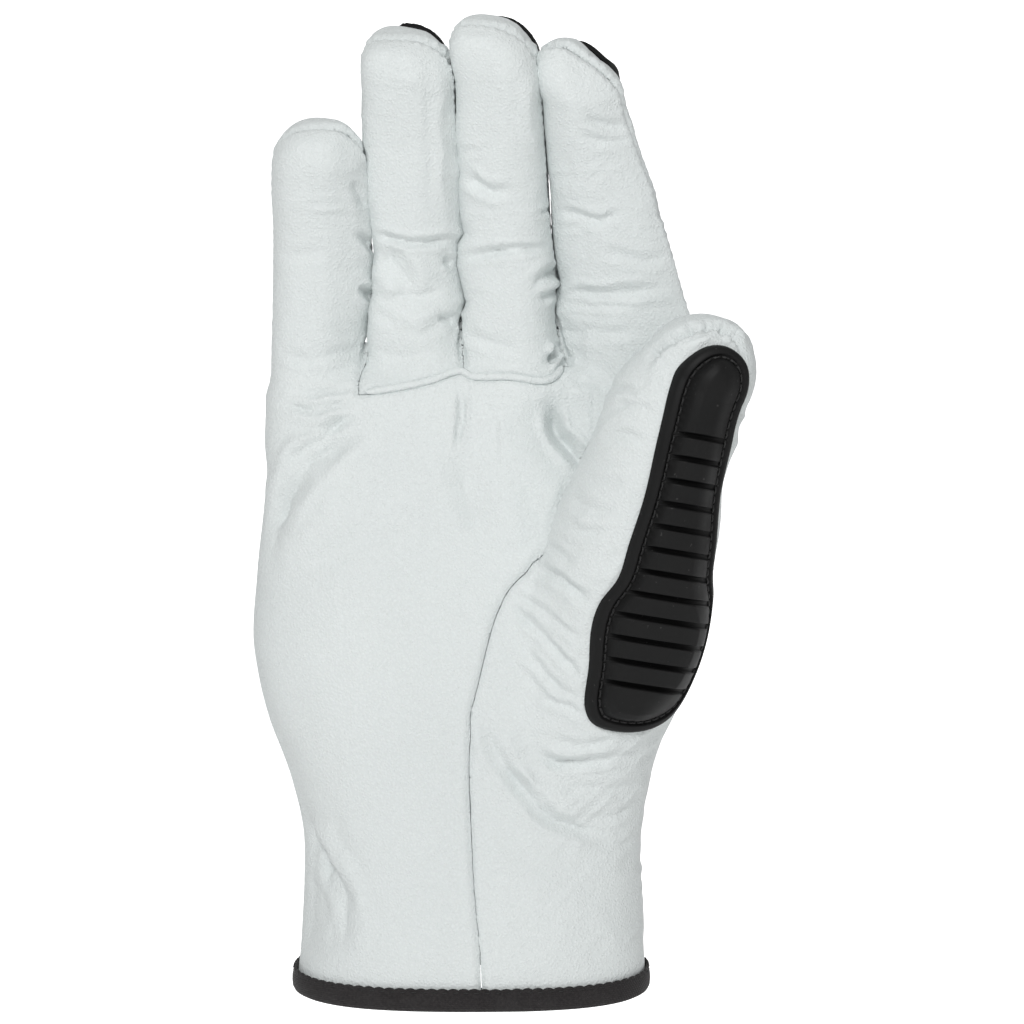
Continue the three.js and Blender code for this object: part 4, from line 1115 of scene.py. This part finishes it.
def finger_guard(tube, rise, end, aside):
    """A guard along the back of a finger stall and over its tip, moved aside by a distance."""
    start = FINGER_GUARD_FOOT
    length = tube.along[-1]
    turn = math.asin(end - 1) * tube.tip_length
    low, high = start * length, length + turn
    half = FINGER_GUARD_WIDTH / 2
    turns = np.linspace(0, math.pi / 2, 6)
    ring = []
    for side, top, offset in ((1, high, 0), (-1, high, 1), (-1, low, 2), (1, low, 3)):
        corner = 6.0 if top == high else 4.0
        centre = (side * (half - corner), top - corner if top == high else top + corner)
        for angle in turns + offset * math.pi / 2:
            ring.append((centre[0] + corner * math.cos(angle), centre[1] + corner * math.sin(angle)))
    outline = np.array(ring)
    grooves = [share * length for share in FINGER_GROOVES]
    rows = grid_rows(low - 0.5, high + 0.5, 0.5, grooves, 0.6)
    grid, triangles = plate_grid(-half - 0.5, half + 0.5, rows, 0.5)
    inner = inside_distance(grid, outline)
    columns, triangles = clipped(np.column_stack([grid, inner]), triangles, -inner)
    grid, inner = columns[:, :2], np.maximum(columns[:, 2], 0.0)
    height = np.interp(inner, [0.0, 0.1, 0.4, 1.0, 2.2, 50.0], [0.0, 0.9, 1.7, 2.3, rise, rise])
    height = np.minimum(height, blend(rise, 1.3, ramp(grid[:, 1], length - 2, length + 0.7 * turn)))
    for groove in grooves:
        height = np.minimum(height, groove_limit(grid[:, 1] - groove, 0.6, 1.2))
    share = np.clip(grid[:, 1], 0, length)
    middle, ahead, across, back = tube.pick(share, tube.middles, tube.ahead, tube.across, tube.back)
    angle = np.clip(grid[:, 1] - length, 0, None) / tube.tip_length
    outward = back * np.cos(angle)[:, None] + ahead * np.sin(angle)[:, None]
    leaning = tube.lean * np.sin(angle) * tube.tip_length
    origins = middle - across * (grid[:, :1] + aside + leaning[:, None]) + outward * 30.0
    points = landed(origins, -outward, height, tube.depth_of, 60.0)
    return points, triangles


# Solid pieces from skins

def with_rim(points, triangles, normals, deep):
    """The mesh with a narrow wall from its open edges inwards."""
    all_points, all_triangles = [points], [triangles]
    count = len(points)
    for loop in rim_loops(triangles):
        size = len(loop)
        outer = points[loop]
        inner = outer - normals[loop] * deep
        here = count + np.arange(size)
        there = np.roll(here, -1)
        all_points += [outer, inner]
        all_triangles.append(np.stack([there, here, here + size], 1))
        all_triangles.append(np.stack([there, here + size, there + size], 1))
        count += 2 * size
    return np.concatenate(all_points), np.concatenate(all_triangles)


def mesh_object(name, points, triangles, material):
    mesh = bpy.data.meshes.new(name)
    mesh.vertices.add(len(points))
    mesh.vertices.foreach_set("co", (np.asarray(points) * MM).astype(np.float32).ravel())
    mesh.loops.add(triangles.size)
    mesh.loops.foreach_set("vertex_index", triangles.astype(np.int32).ravel())
    mesh.polygons.add(len(triangles))
    starts = np.arange(len(triangles)) * triangles.shape[1]
    mesh.polygons.foreach_set("loop_start", starts.astype(np.int32))
    mesh.update(calc_edges=True)
    mesh.validate()
    mesh.shade_smooth()
    mesh.materials.append(material)
    piece = bpy.data.objects.new(name, mesh)
    bpy.context.scene.collection.objects.link(piece)
    return piece


SEAM_GAP = 0.08
TUCK_DEEP = 1.0
TUCK_WIDE = 1.7
PUCKER_PITCH = 2.7
PUCKER_DEEP = 0.1
TIP_PUCKER_DEEP = 0.12
TIP_HEIGHTS = (212.0, 226.0)


def tucked(points, triangles, normals, near):
    """Turns the leather in along its seams, with a small pucker at each stitch."""
    tree_points, passed = [], []
    for loop in rim_loops(triangles):
        line = points[loop]
        steps = np.linalg.norm(np.diff(line, axis=0, append=line[:1]), axis=1)
        tree_points.append(line)
        passed.append(np.concatenate([[0.0], np.cumsum(steps)[:-1]]))
    line = np.concatenate(tree_points)
    passed = np.concatenate(passed)
    keep = line[:, 2] > HEM + 1.0
    line, passed = line[keep], passed[keep]
    tree = kdtree.KDTree(len(line))
    for index, place in enumerate(line):
        tree.insert(place, index)
    tree.balance()
    moved = points.copy()
    for index in np.flatnonzero(near):
        _, found, distance = tree.find(points[index])
        if distance > 4.0:
            continue
        fall = max(0.0, 1 - distance / TUCK_WIDE)
        stitch = math.cos(2 * math.pi * passed[found] / PUCKER_PITCH)
        depth = PUCKER_DEEP + TIP_PUCKER_DEEP * ramp(points[index, 2], *TIP_HEIGHTS)
        pucker = depth * stitch * math.exp(-(((distance - 1.3) / 0.8) ** 2))
        roll = 0.12 * math.exp(-(((distance - 1.9) / 0.9) ** 2))
        moved[index] += normals[index] * (roll - pucker - TUCK_DEEP * fall * fall)
    return moved


def panel(name, skin, coarse, value_of, material):
    """One leather panel: its outer face, its edges and its plain inner face."""
    columns, triangles = skin
    value = np.maximum(value_of(columns), HEM - columns[:, 2])
    columns, triangles = largest_part(*clipped(columns, triangles, value + SEAM_GAP))
    points = columns[:, :3]
    normals = normals_of(points, triangles)
    near = np.abs(value_of(columns)) < 5.0
    outer = tucked(points, triangles, normals, near)
    outer, faces = with_rim(outer, triangles, normals, LEATHER)
    columns, triangles = coarse
    value = np.maximum(value_of(columns), HEM - columns[:, 2])
    inward = normals_of(columns[:, :3], triangles)
    columns, triangles = clipped(np.column_stack([columns, inward]), triangles, value + 0.2)
    inner = columns[:, :3] - columns[:, -3:] * LEATHER
    faces = np.concatenate([faces, triangles[:, ::-1] + len(outer)])
    return mesh_object(name, np.concatenate([outer, inner]), faces, material)


def palm_value(columns):
    above = np.minimum(columns[:, ROOT], -columns[:, OUTER])
    return np.maximum(np.maximum(columns[:, SIDE], -columns[:, THUMB_SIDE]), above)


def back_value(columns):
    return np.maximum(-columns[:, SIDE], -columns[:, THUMB_SIDE])


def thumb_value(columns):
    return columns[:, THUMB_SIDE]


def long_finger_value(columns, own, other):
    side = (columns[:, 3 + other] - columns[:, 3 + own]) * 2.0
    outer = np.maximum(side, columns[:, OUTER])
    return np.maximum(np.maximum(columns[:, SIDE], -columns[:, ROOT]), outer)


# Threads and pipings

def swept(line, radii, sides=8, closed=False):
    """A round tube along a line."""
    line = np.asarray(line, float)
    radii = np.broadcast_to(radii, len(line))
    if closed:
        ahead = np.roll(line, -1, axis=0) - np.roll(line, 1, axis=0)
    else:
        ahead = np.gradient(line, axis=0)
    ahead /= np.linalg.norm(ahead, axis=1, keepdims=True)
    side = np.cross(ahead, np.array([0.13, 0.97, 0.21]))
    side /= np.linalg.norm(side, axis=1, keepdims=True)
    other = np.cross(ahead, side)
    angles = np.arange(sides) / sides * 2 * math.pi
    ring = side[:, None] * np.cos(angles)[None, :, None] + other[:, None] * np.sin(angles)[None, :, None]
    points = (line[:, None] + ring * radii[:, None, None]).reshape(-1, 3)
    count = len(line)
    rows = np.arange(count if closed else count - 1)
    here = rows[:, None] * sides + np.arange(sides)[None]
    turned = rows[:, None] * sides + (np.arange(sides)[None] + 1) % sides
    above = (here + sides) % (count * sides)
    above_turned = (turned + sides) % (count * sides)
    first = np.stack([here, turned, above_turned], -1).reshape(-1, 3)
    second = np.stack([here, above_turned, above], -1).reshape(-1, 3)
    return points, np.concatenate([first, second])


def merged(parts):
    points, triangles, count = [], [], 0
    for part_points, part_triangles in parts:
        points.append(part_points)
        triangles.append(part_triangles + count)
        count += len(part_points)
    return np.concatenate(points), np.concatenate(triangles)


def stitch(start, end, radius, lift, outward):
    """One thread stitch between two places, a little bowed outwards."""
    share = np.linspace(0, 1, 6)
    line = start + (end - start) * share[:, None] + outward * (lift * np.sin(math.pi * share) - 0.1)[:, None]
    return swept(line, radius * np.array([0.5, 0.95, 1.0, 1.0, 0.95, 0.5]), 6)


def spaced(line, pitch, closed=True):
    """Places along a line about one pitch apart."""
    line = np.concatenate([line, line[:1]]) if closed else np.asarray(line)
    steps = np.linalg.norm(np.diff(line, axis=0), axis=1)
    passed = np.concatenate([[0.0], np.cumsum(steps)])
    count = max(2, int(round(passed[-1] / pitch)))
    at = np.linspace(0, passed[-1], count + 1)
    return np.stack([np.interp(at, passed, column) for column in line.T], 1)


def shrunk(outline, amount):
    ahead = np.roll(outline, -1, axis=0) - np.roll(outline, 1, axis=0)
    ahead /= np.linalg.norm(ahead, axis=1, keepdims=True)
    return outline + np.stack([-ahead[:, 1], ahead[:, 0]], 1) * amount


def guard_stitches(outline, axes, reach, depth_of):
    """A line of stitches in a guard's channel."""
    right, inward = axes
    places = spaced(shrunk(outline, FLANGE_WIDE + 0.5 * CHANNEL_WIDE + 0.1), 2.3)
    origins = right * places[:, :1] + np.array([0.0, 0.0, 1.0]) * places[:, 1:2] - inward * reach
    heights = np.full(len(places), CHANNEL_RISE + 0.15)
    spots = landed(origins, np.broadcast_to(inward, origins.shape), heights, depth_of, 2 * reach)
    parts = []
    for start, end in zip(spots[:-1], spots[1:]):
        ahead = (end - start) / np.linalg.norm(end - start)
        aside = np.cross(ahead, inward)
        for side in (-1, 1):
            from_place = start + (end - start) * 0.08 + aside * 0.14 * side
            to_place = end - (end - start) * 0.08 - aside * 0.14 * side
            parts.append(stitch(from_place, to_place, 0.24, 0.35, -inward))
    return merged(parts)


BINDING_RISE = 1.25
SCALLOP_PITCH = 2.6
HEM_DIP = 1.3


def hem_line(count):
    """The hem's outline, evenly spaced, and its outward directions."""
    sides = {side: PALM[side][1][0] for side in PALM}
    half_x, half_y = (sides["right"] - sides["left"]) / 2, (sides["back"] - sides["front"]) / 2
    angles = np.linspace(0, 2 * math.pi, 4000, endpoint=False)
    power = 2 / PALM_POWER
    x = np.sign(np.cos(angles)) * np.abs(np.cos(angles)) ** power * half_x
    y = np.sign(np.sin(angles)) * np.abs(np.sin(angles)) ** power * half_y
    line = spaced(np.stack([x, y], 1), 2 * math.pi * 36.0 / count)
    line = line[:-1]
    ahead = np.roll(line, -1, axis=0) - np.roll(line, 1, axis=0)
    ahead /= np.linalg.norm(ahead, axis=1, keepdims=True)
    return line, np.stack([ahead[:, 1], -ahead[:, 0]], 1)


def make_binding(material):
    """A woven strip folded round the hem; its stitched edge is lightly scalloped."""
    line, outward = hem_line(620)
    steps = np.linalg.norm(np.diff(line, axis=0, append=line[:1]), axis=1)
    passed = np.concatenate([[0.0], np.cumsum(steps)[:-1]])
    scallop = np.abs(np.cos(math.pi * passed / SCALLOP_PITCH)) ** 0.7
    wobble = noise(np.column_stack([line, passed * 0]), (7, 7, 7), 21)
    inside = -LEATHER
    dip = HEM_DIP * ramp(-line[:, 1] / DEPTH, 0.0, 0.5)
    profile = [
        (0.05, 5.15, 1.0), (0.3, 5.6, 1.0), (0.75, 5.75, 1.0), (1.0, 5.35, 0.9), (0.85, 4.75, 0.4),
        (0.95, 4.3, 0.1), (1.2, 3.4, 0.0), (BINDING_RISE, 2.2, 0.0), (1.15, 1.0, 0.0), (0.8, 0.3, 0.0),
        (0.2, 0.0, 0.0), (inside - 0.4, 0.0, 0.0), (inside - 1.0, 0.5, 0.0), (inside - 1.2, 2.0, 0.0),
        (inside - 1.2, 4.6, 0.0), (inside - 0.9, 5.6, 0.0), (inside - 0.3, 5.7, 0.0),
        (inside - 0.05, 5.2, 0.0), (inside - 0.05, 1.2, 0.0), (0.05, 1.2, 0.0),
    ]
    rings = []
    for off, z, edge in profile:
        height = z + edge * (0.45 * scallop - 0.25) + (0.12 * wobble if edge else 0.0) - dip
        out = off + (0.1 * wobble if off > 0 else 0.0)
        rings.append(np.column_stack([line + outward * np.broadcast_to(out, len(line))[:, None], height
                                      + np.zeros(len(line))]))
    points = np.stack(rings, 1).reshape(-1, 3)
    wide, count = len(profile), len(line)
    i, j = np.meshgrid(np.arange(count), np.arange(wide), indexing="ij")
    a = i * wide + j
    b = i * wide + (j + 1) % wide
    c = ((i + 1) % count) * wide + (j + 1) % wide
    d = ((i + 1) % count) * wide + j
    quads = np.stack([a, b, c, d], -1).reshape(-1, 4)
    return mesh_object("cuff_binding_cloth", points, quads[:, ::-1], material)


def make_binding_stitches(material):
    """The stitches that hold the strip, one in each scallop's dip."""
    line, outward = hem_line(620)
    places = spaced(line, SCALLOP_PITCH / 2)
    ahead = np.gradient(places, axis=0)
    ahead /= np.linalg.norm(ahead, axis=1, keepdims=True)
    out = np.stack([ahead[:, 1], -ahead[:, 0]], 1)
    parts = []
    for index in range(0, len(places) - 2, 2):
        dip = HEM_DIP * ramp(-places[index, 1] / DEPTH, 0.0, 0.5)
        start = np.append(places[index] + out[index] * 0.95, 4.85 - dip)
        end = np.append(places[index + 1] + out[index + 1] * 0.95, 4.95 - dip)
        parts.append(stitch(start, end, 0.16, 0.15, np.append(out[index], 0.0)))
    return mesh_object("cuff_binding_stitches", *merged(parts), material)


def make_welt(material):
    """The piping in the seam at the roots of the ring and middle fingers."""
    line = root_seam_line()
    keep = (line[:, 0] > -26.4) & (line[:, 0] < 22.6)
    line = line[keep]
    origins = np.column_stack([line[:, 0], np.full(len(line), -60.0), line[:, 1]])
    closed = lambda points: skin_depth(points, False)
    ahead = np.array([0.0, 1.0, 0.0])
    spots = landed(origins, np.broadcast_to(ahead, origins.shape), np.full(len(line), -0.35), closed, 90.0)
    spots[:, 1] = np.convolve(np.pad(spots[:, 1], 4, mode="edge"), np.ones(9) / 9, mode="valid")
    radii = 0.95 + 0.06 * noise(spots, (2.2, 9, 9), 31)
    radii[:3] *= [0.4, 0.7, 0.9]
    radii[-3:] *= [0.9, 0.7, 0.4]
    points, triangles = swept(spots, radii, 14)
    return mesh_object("finger_base_piping", points, triangles, material)


# Materials

class Nodes:
    """Short calls for building a material's nodes."""

    def __init__(self, name):
        self.material = bpy.data.materials.new(name)
        self.material.use_nodes = True
        self.tree = self.material.node_tree
        self.shader = self.tree.nodes["Principled BSDF"]

    def add(self, kind, values=None, **settings):
        node = self.tree.nodes.new(kind)
        for key, value in settings.items():
            setattr(node, key, value)
        for key, value in (values or {}).items():
            node.inputs[key].default_value = value
        return node

    def link(self, start, end):
        self.tree.links.new(start, end)

    def place(self, scale=(1.0, 1.0, 1.0)):
        """The object's own coordinates, stretched."""
        source = self.add("ShaderNodeTexCoord")
        stretch = self.add("ShaderNodeMapping")
        stretch.inputs["Scale"].default_value = scale
        self.link(source.outputs["Object"], stretch.inputs["Vector"])
        return stretch.outputs["Vector"]

    def noise(self, scale, detail, place, rough=0.5):
        node = self.add("ShaderNodeTexNoise", {"Scale": scale, "Detail": detail, "Roughness": rough})
        self.link(place, node.inputs["Vector"])
        return node.outputs["Fac"]

    def ramp(self, source, low, high, start, end):
        """A colour or value that goes from start to end as the source goes from low to high."""
        values = {"From Min": low, "From Max": high, "To Min": start, "To Max": end}
        node = self.add("ShaderNodeMapRange", values)
        self.link(source, node.inputs["Value"])
        return node.outputs["Result"]

    def mix(self, share, first, second):
        node = self.add("ShaderNodeMix", data_type="RGBA")
        self.link(share, node.inputs["Factor"])
        for key, value in ((6, first), (7, second)):
            if isinstance(value, tuple):
                node.inputs[key].default_value = value + (1.0,)
            else:
                self.link(value, node.inputs[key])
        return node.outputs[2]

    def sums(self, *parts):
        """The sum of sources times weights."""
        total = None
        for source, weight in parts:
            scaled = self.add("ShaderNodeMath", {1: weight}, operation="MULTIPLY")
            self.link(source, scaled.inputs[0])
            if total is None:
                total = scaled.outputs[0]
                continue
            added = self.add("ShaderNodeMath", operation="ADD")
            self.link(total, added.inputs[0])
            self.link(scaled.outputs[0], added.inputs[1])
            total = added.outputs[0]
        return total

    def bump(self, source, strength, distance):
        node = self.add("ShaderNodeBump", {"Strength": strength, "Distance": distance})
        self.link(source, node.inputs["Height"])
        self.link(node.outputs["Normal"], self.shader.inputs["Normal"])

    def finish(self, **values):
        for key, value in values.items():
            self.shader.inputs[key.replace("_", " ")].default_value = value
        return self.material


def leather_material():
    nodes = Nodes("grain_leather")
    place = nodes.place()
    cells = nodes.add("ShaderNodeTexVoronoi", {"Scale": 1400.0, "Randomness": 1.0}, feature="F1")
    warp = nodes.add("ShaderNodeVectorMath", operation="ADD")
    swirl = nodes.add("ShaderNodeTexNoise", {"Scale": 600.0, "Detail": 1.0})
    nodes.link(place, swirl.inputs["Vector"])
    small = nodes.add("ShaderNodeVectorMath", operation="SCALE")
    small.inputs["Scale"].default_value = 0.0006
    nodes.link(swirl.outputs["Color"], small.inputs[0])
    nodes.link(place, warp.inputs[0])
    nodes.link(small.outputs[0], warp.inputs[1])
    nodes.link(warp.outputs[0], cells.inputs["Vector"])
    fine = nodes.noise(2600.0, 1.0, place)
    patch = nodes.noise(60.0, 2.0, place)
    broad = nodes.noise(22.0, 1.0, place)
    pebble = nodes.ramp(cells.outputs["Distance"], 0.05, 0.6, 1.0, 0.0)
    height = nodes.sums((pebble, 1.0), (fine, 0.3), (patch, 0.15))
    nodes.bump(height, 0.65, 0.00025)
    tint = nodes.mix(nodes.ramp(broad, 0.35, 0.65, 0.0, 1.0), (0.745, 0.785, 0.782), (0.765, 0.805, 0.8))
    # Painted shade: the grain's valleys, where the pebble cells meet and the bump is lowest, are darkened in
    # the colour.
    grain_valley_shade = nodes.mix(nodes.ramp(cells.outputs["Distance"], 0.4, 0.7, 0.0, 0.25), tint, (0.6, 0.64, 0.635))
    nodes.link(grain_valley_shade, nodes.shader.inputs["Base Color"])
    rough = nodes.ramp(patch, 0.3, 0.7, 0.5, 0.64)
    nodes.link(rough, nodes.shader.inputs["Roughness"])
    return nodes.finish(IOR=1.45)


def rubber_material():
    nodes = Nodes("moulded_rubber")
    place = nodes.place()
    fine = nodes.noise(2400.0, 2.0, place)
    patch = nodes.noise(90.0, 3.0, place)
    speck = nodes.noise(900.0, 1.0, place)
    blotch = nodes.ramp(patch, 0.35, 0.65, 0.0, 1.0)
    tint = nodes.mix(blotch, (0.0075, 0.0077, 0.0078), (0.0095, 0.0095, 0.0095))
    dust = nodes.mix(nodes.ramp(speck, 0.74, 0.78, 0.0, 0.35), tint, (0.09, 0.09, 0.088))
    nodes.link(dust, nodes.shader.inputs["Base Color"])
    nodes.link(nodes.ramp(patch, 0.3, 0.7, 0.5, 0.6), nodes.shader.inputs["Roughness"])
    nodes.bump(nodes.sums((fine, 0.6), (patch, 0.6)), 0.25, 0.00008)
    return nodes.finish(IOR=1.45, Specular_IOR_Level=0.22)


def cloth_material():
    nodes = Nodes("woven_binding")
    place = nodes.place()
    weave = nodes.add("ShaderNodeTexWave", {"Scale": 520.0, "Distortion": 0.8, "Detail": 1.0})
    weave.bands_direction = "DIAGONAL"
    nodes.link(place, weave.inputs["Vector"])
    cross = nodes.add("ShaderNodeTexWave", {"Scale": 620.0, "Distortion": 0.8, "Detail": 1.0})
    cross.bands_direction = "Z"
    nodes.link(place, cross.inputs["Vector"])
    lint = nodes.noise(1600.0, 2.0, place)
    patch = nodes.noise(140.0, 2.0, place)
    tint = nodes.mix(nodes.ramp(lint, 0.35, 0.75, 0.0, 1.0), (0.011, 0.009, 0.0095), (0.024, 0.021, 0.021))
    fleck = nodes.mix(nodes.ramp(lint, 0.76, 0.8, 0.0, 0.5), tint, (0.12, 0.11, 0.11))
    nodes.link(fleck, nodes.shader.inputs["Base Color"])
    nodes.link(nodes.ramp(patch, 0.3, 0.7, 0.82, 0.95), nodes.shader.inputs["Roughness"])
    height = nodes.sums((weave.outputs["Fac"], 0.5), (cross.outputs["Fac"], 0.5), (lint, 0.4))
    nodes.bump(height, 0.6, 0.00025)
    return nodes.finish(Sheen_Weight=0.08)


def thread_material():
    nodes = Nodes("black_thread")
    place = nodes.place()
    twist = nodes.add("ShaderNodeTexWave", {"Scale": 900.0, "Distortion": 0.5, "Detail": 0.0})
    twist.bands_direction = "DIAGONAL"
    nodes.link(place, twist.inputs["Vector"])
    # Painted shade: the twist's grooves are darker and its raised plies lighter, following the bump.
    twist_groove_shade = nodes.mix(twist.outputs["Fac"], (0.008, 0.008, 0.008), (0.02, 0.02, 0.02))
    nodes.link(twist_groove_shade, nodes.shader.inputs["Base Color"])
    nodes.bump(twist.outputs["Fac"], 0.5, 0.0001)
    return nodes.finish(Roughness=0.55)


def glowing_stage_material():
    nodes = Nodes("white_stage_painted_glow")
    place = nodes.place()
    tint = nodes.mix(nodes.noise(1.5, 2.0, place), (0.93, 0.93, 0.93), (0.95, 0.95, 0.95))
    nodes.link(tint, nodes.shader.inputs["Base Color"])
    # Painted light: the stage glows, brightest round the glow place on the wall behind the glove and fainter
    # further off, though it is no lamp.
    apart = nodes.add("ShaderNodeVectorMath", {1: PAINTED_GLOW_PLACE}, operation="DISTANCE")
    nodes.link(place, apart.inputs[0])
    painted_glow = nodes.ramp(apart.outputs["Value"], 0.8, 1.6, 0.9, 0.25)
    nodes.link(painted_glow, nodes.shader.inputs["Emission Strength"])
    return nodes.finish(Roughness=0.9, Emission_Color=(1.0, 1.0, 1.0, 1.0))


# Stage and lights

# The middle of the stage's painted glow, in the stage's own coordinates in metres.
PAINTED_GLOW_PLACE = (0.0, 2.5, 0.0)


def make_stage():
    """A white floor that curves up into a wall behind the glove; it glows with painted light, brightest on
    the wall behind the glove.
    """
    material = glowing_stage_material()
    floor_z, far, bend = -400.0, 2600.0, 900.0
    profile = [(-1500.0, floor_z), (far - bend, floor_z)]
    for angle in np.linspace(0, math.pi / 2, 24)[1:]:
        profile.append((far - bend + bend * math.sin(angle), floor_z + bend * (1 - math.cos(angle))))
    profile.append((far, 2600.0))
    xs = np.linspace(-2600.0, 2600.0, 9)
    points = np.array([(x, y, z) for y, z in profile for x in xs])
    count, wide = len(profile), len(xs)
    i, j = np.meshgrid(np.arange(count - 1), np.arange(wide - 1), indexing="ij")
    a = i * wide + j
    quads = np.stack([a, a + 1, a + wide + 1, a + wide], -1).reshape(-1, 4)
    mesh_object("stage", points, quads, material)


def add_light(name, place, target, size, power):
    light = bpy.data.lights.new(name, "AREA")
    light.shape = "RECTANGLE"
    light.size, light.size_y = size
    light.energy = power
    holder = bpy.data.objects.new(name, light)
    holder.location = place
    holder.rotation_euler = (Vector(target) - Vector(place)).to_track_quat("-Z", "Y").to_euler()
    bpy.context.scene.collection.objects.link(holder)


def make_lights():
    world = bpy.data.worlds.new("studio")
    world.use_nodes = True
    world.node_tree.nodes["Background"].inputs["Color"].default_value = (1.0, 1.0, 1.0, 1.0)
    world.node_tree.nodes["Background"].inputs["Strength"].default_value = 0.375
    bpy.context.scene.world = world
    middle = (0.0, 0.0, 0.12)
    add_light("key", (-0.3, -1.2, 0.85), middle, (0.45, 0.45), 9.7)
    add_light("fill", (0.7, -1.2, 0.3), middle, (0.8, 0.8), 1.5)
    bpy.context.scene.view_settings.view_transform = "Standard"
    bpy.context.scene.view_settings.look = "None"


# The glove

def ride(piece, slot, *nodes):
    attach(piece, "root")
    if nodes:
        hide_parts(*nodes)


def make_leather(material):
    coarse, skin = (add_measures(part) for part in make_skin())
    coarse, skin = (fold_skin(part, normals_of(part[0][:, :3], part[1])) for part in (coarse, skin))
    panels = [
        ("palm_panel", palm_value),
        ("back_panel", back_value),
        ("thumb_panel", thumb_value),
        ("ring_finger_front", lambda columns: long_finger_value(columns, 1, 2)),
        ("middle_finger_front", lambda columns: long_finger_value(columns, 2, 1)),
    ]
    for node, value_of in panels:
        piece = panel(node + "_leather", skin, coarse, value_of, material)
        ride(piece, "leather", node)


def make_guards(rubber, thread):
    step = 0.32
    right, inward = guard_axes(THUMB_TURN)
    grooves = [THUMB_GUARD_FOOT + share * THUMB_GUARD_LENGTH for share in THUMB_GROOVES]
    thumb = (thumb_guard_outline(), (right, inward), 70.0, grooves, GUARD_SLOPE, GUARD_RISE,
             thumb_ball_depth, step)
    grooves = [HAND_GUARD_FOOT + share * HAND_GUARD_LENGTH for share in HAND_GROOVES]
    axes = (np.array([-1.0, 0.0, 0.0]), np.array([0.0, -1.0, 0.0]))
    hand = (hand_guard_outline(), axes, 60.0, grooves, 0.0, GUARD_RISE, palm_depth_of, 1.3 * step)
    for node, made, share_of in (("thumb_guard", thumb, thumb_guard_share), ("hand_guard", hand, None)):
        points, triangles = flat_guard(*made, share_of)
        points, triangles = with_rim(points, triangles, normals_of(points, triangles), 0.8)
        ride(mesh_object(node + "_rubber", points, triangles, rubber), "guard", node)
        stitches = guard_stitches(made[0], made[1], made[2], made[6])
        ride(mesh_object(node + "_stitches", *stitches, thread), "guard")
    for row, tube in zip(FINGERS, TUBES):
        node = row["name"] + "_guard"
        points, triangles = finger_guard(tube, 3.0, *row["guard"])
        points, triangles = with_rim(points, triangles, normals_of(points, triangles), 0.8)
        ride(mesh_object(node + "_rubber", points, triangles, rubber), "guard", node)


def main():
    leather = leather_material()
    rubber = rubber_material()
    cloth = cloth_material()
    thread = thread_material()
    make_leather(leather)
    make_guards(rubber, thread)
    ride(make_binding(cloth), "binding", "cuff_binding")
    ride(make_binding_stitches(thread), "binding")
    ride(make_welt(leather), "leather", "finger_base_welt")
    make_stage()
    make_lights()
    make_camera()


main()
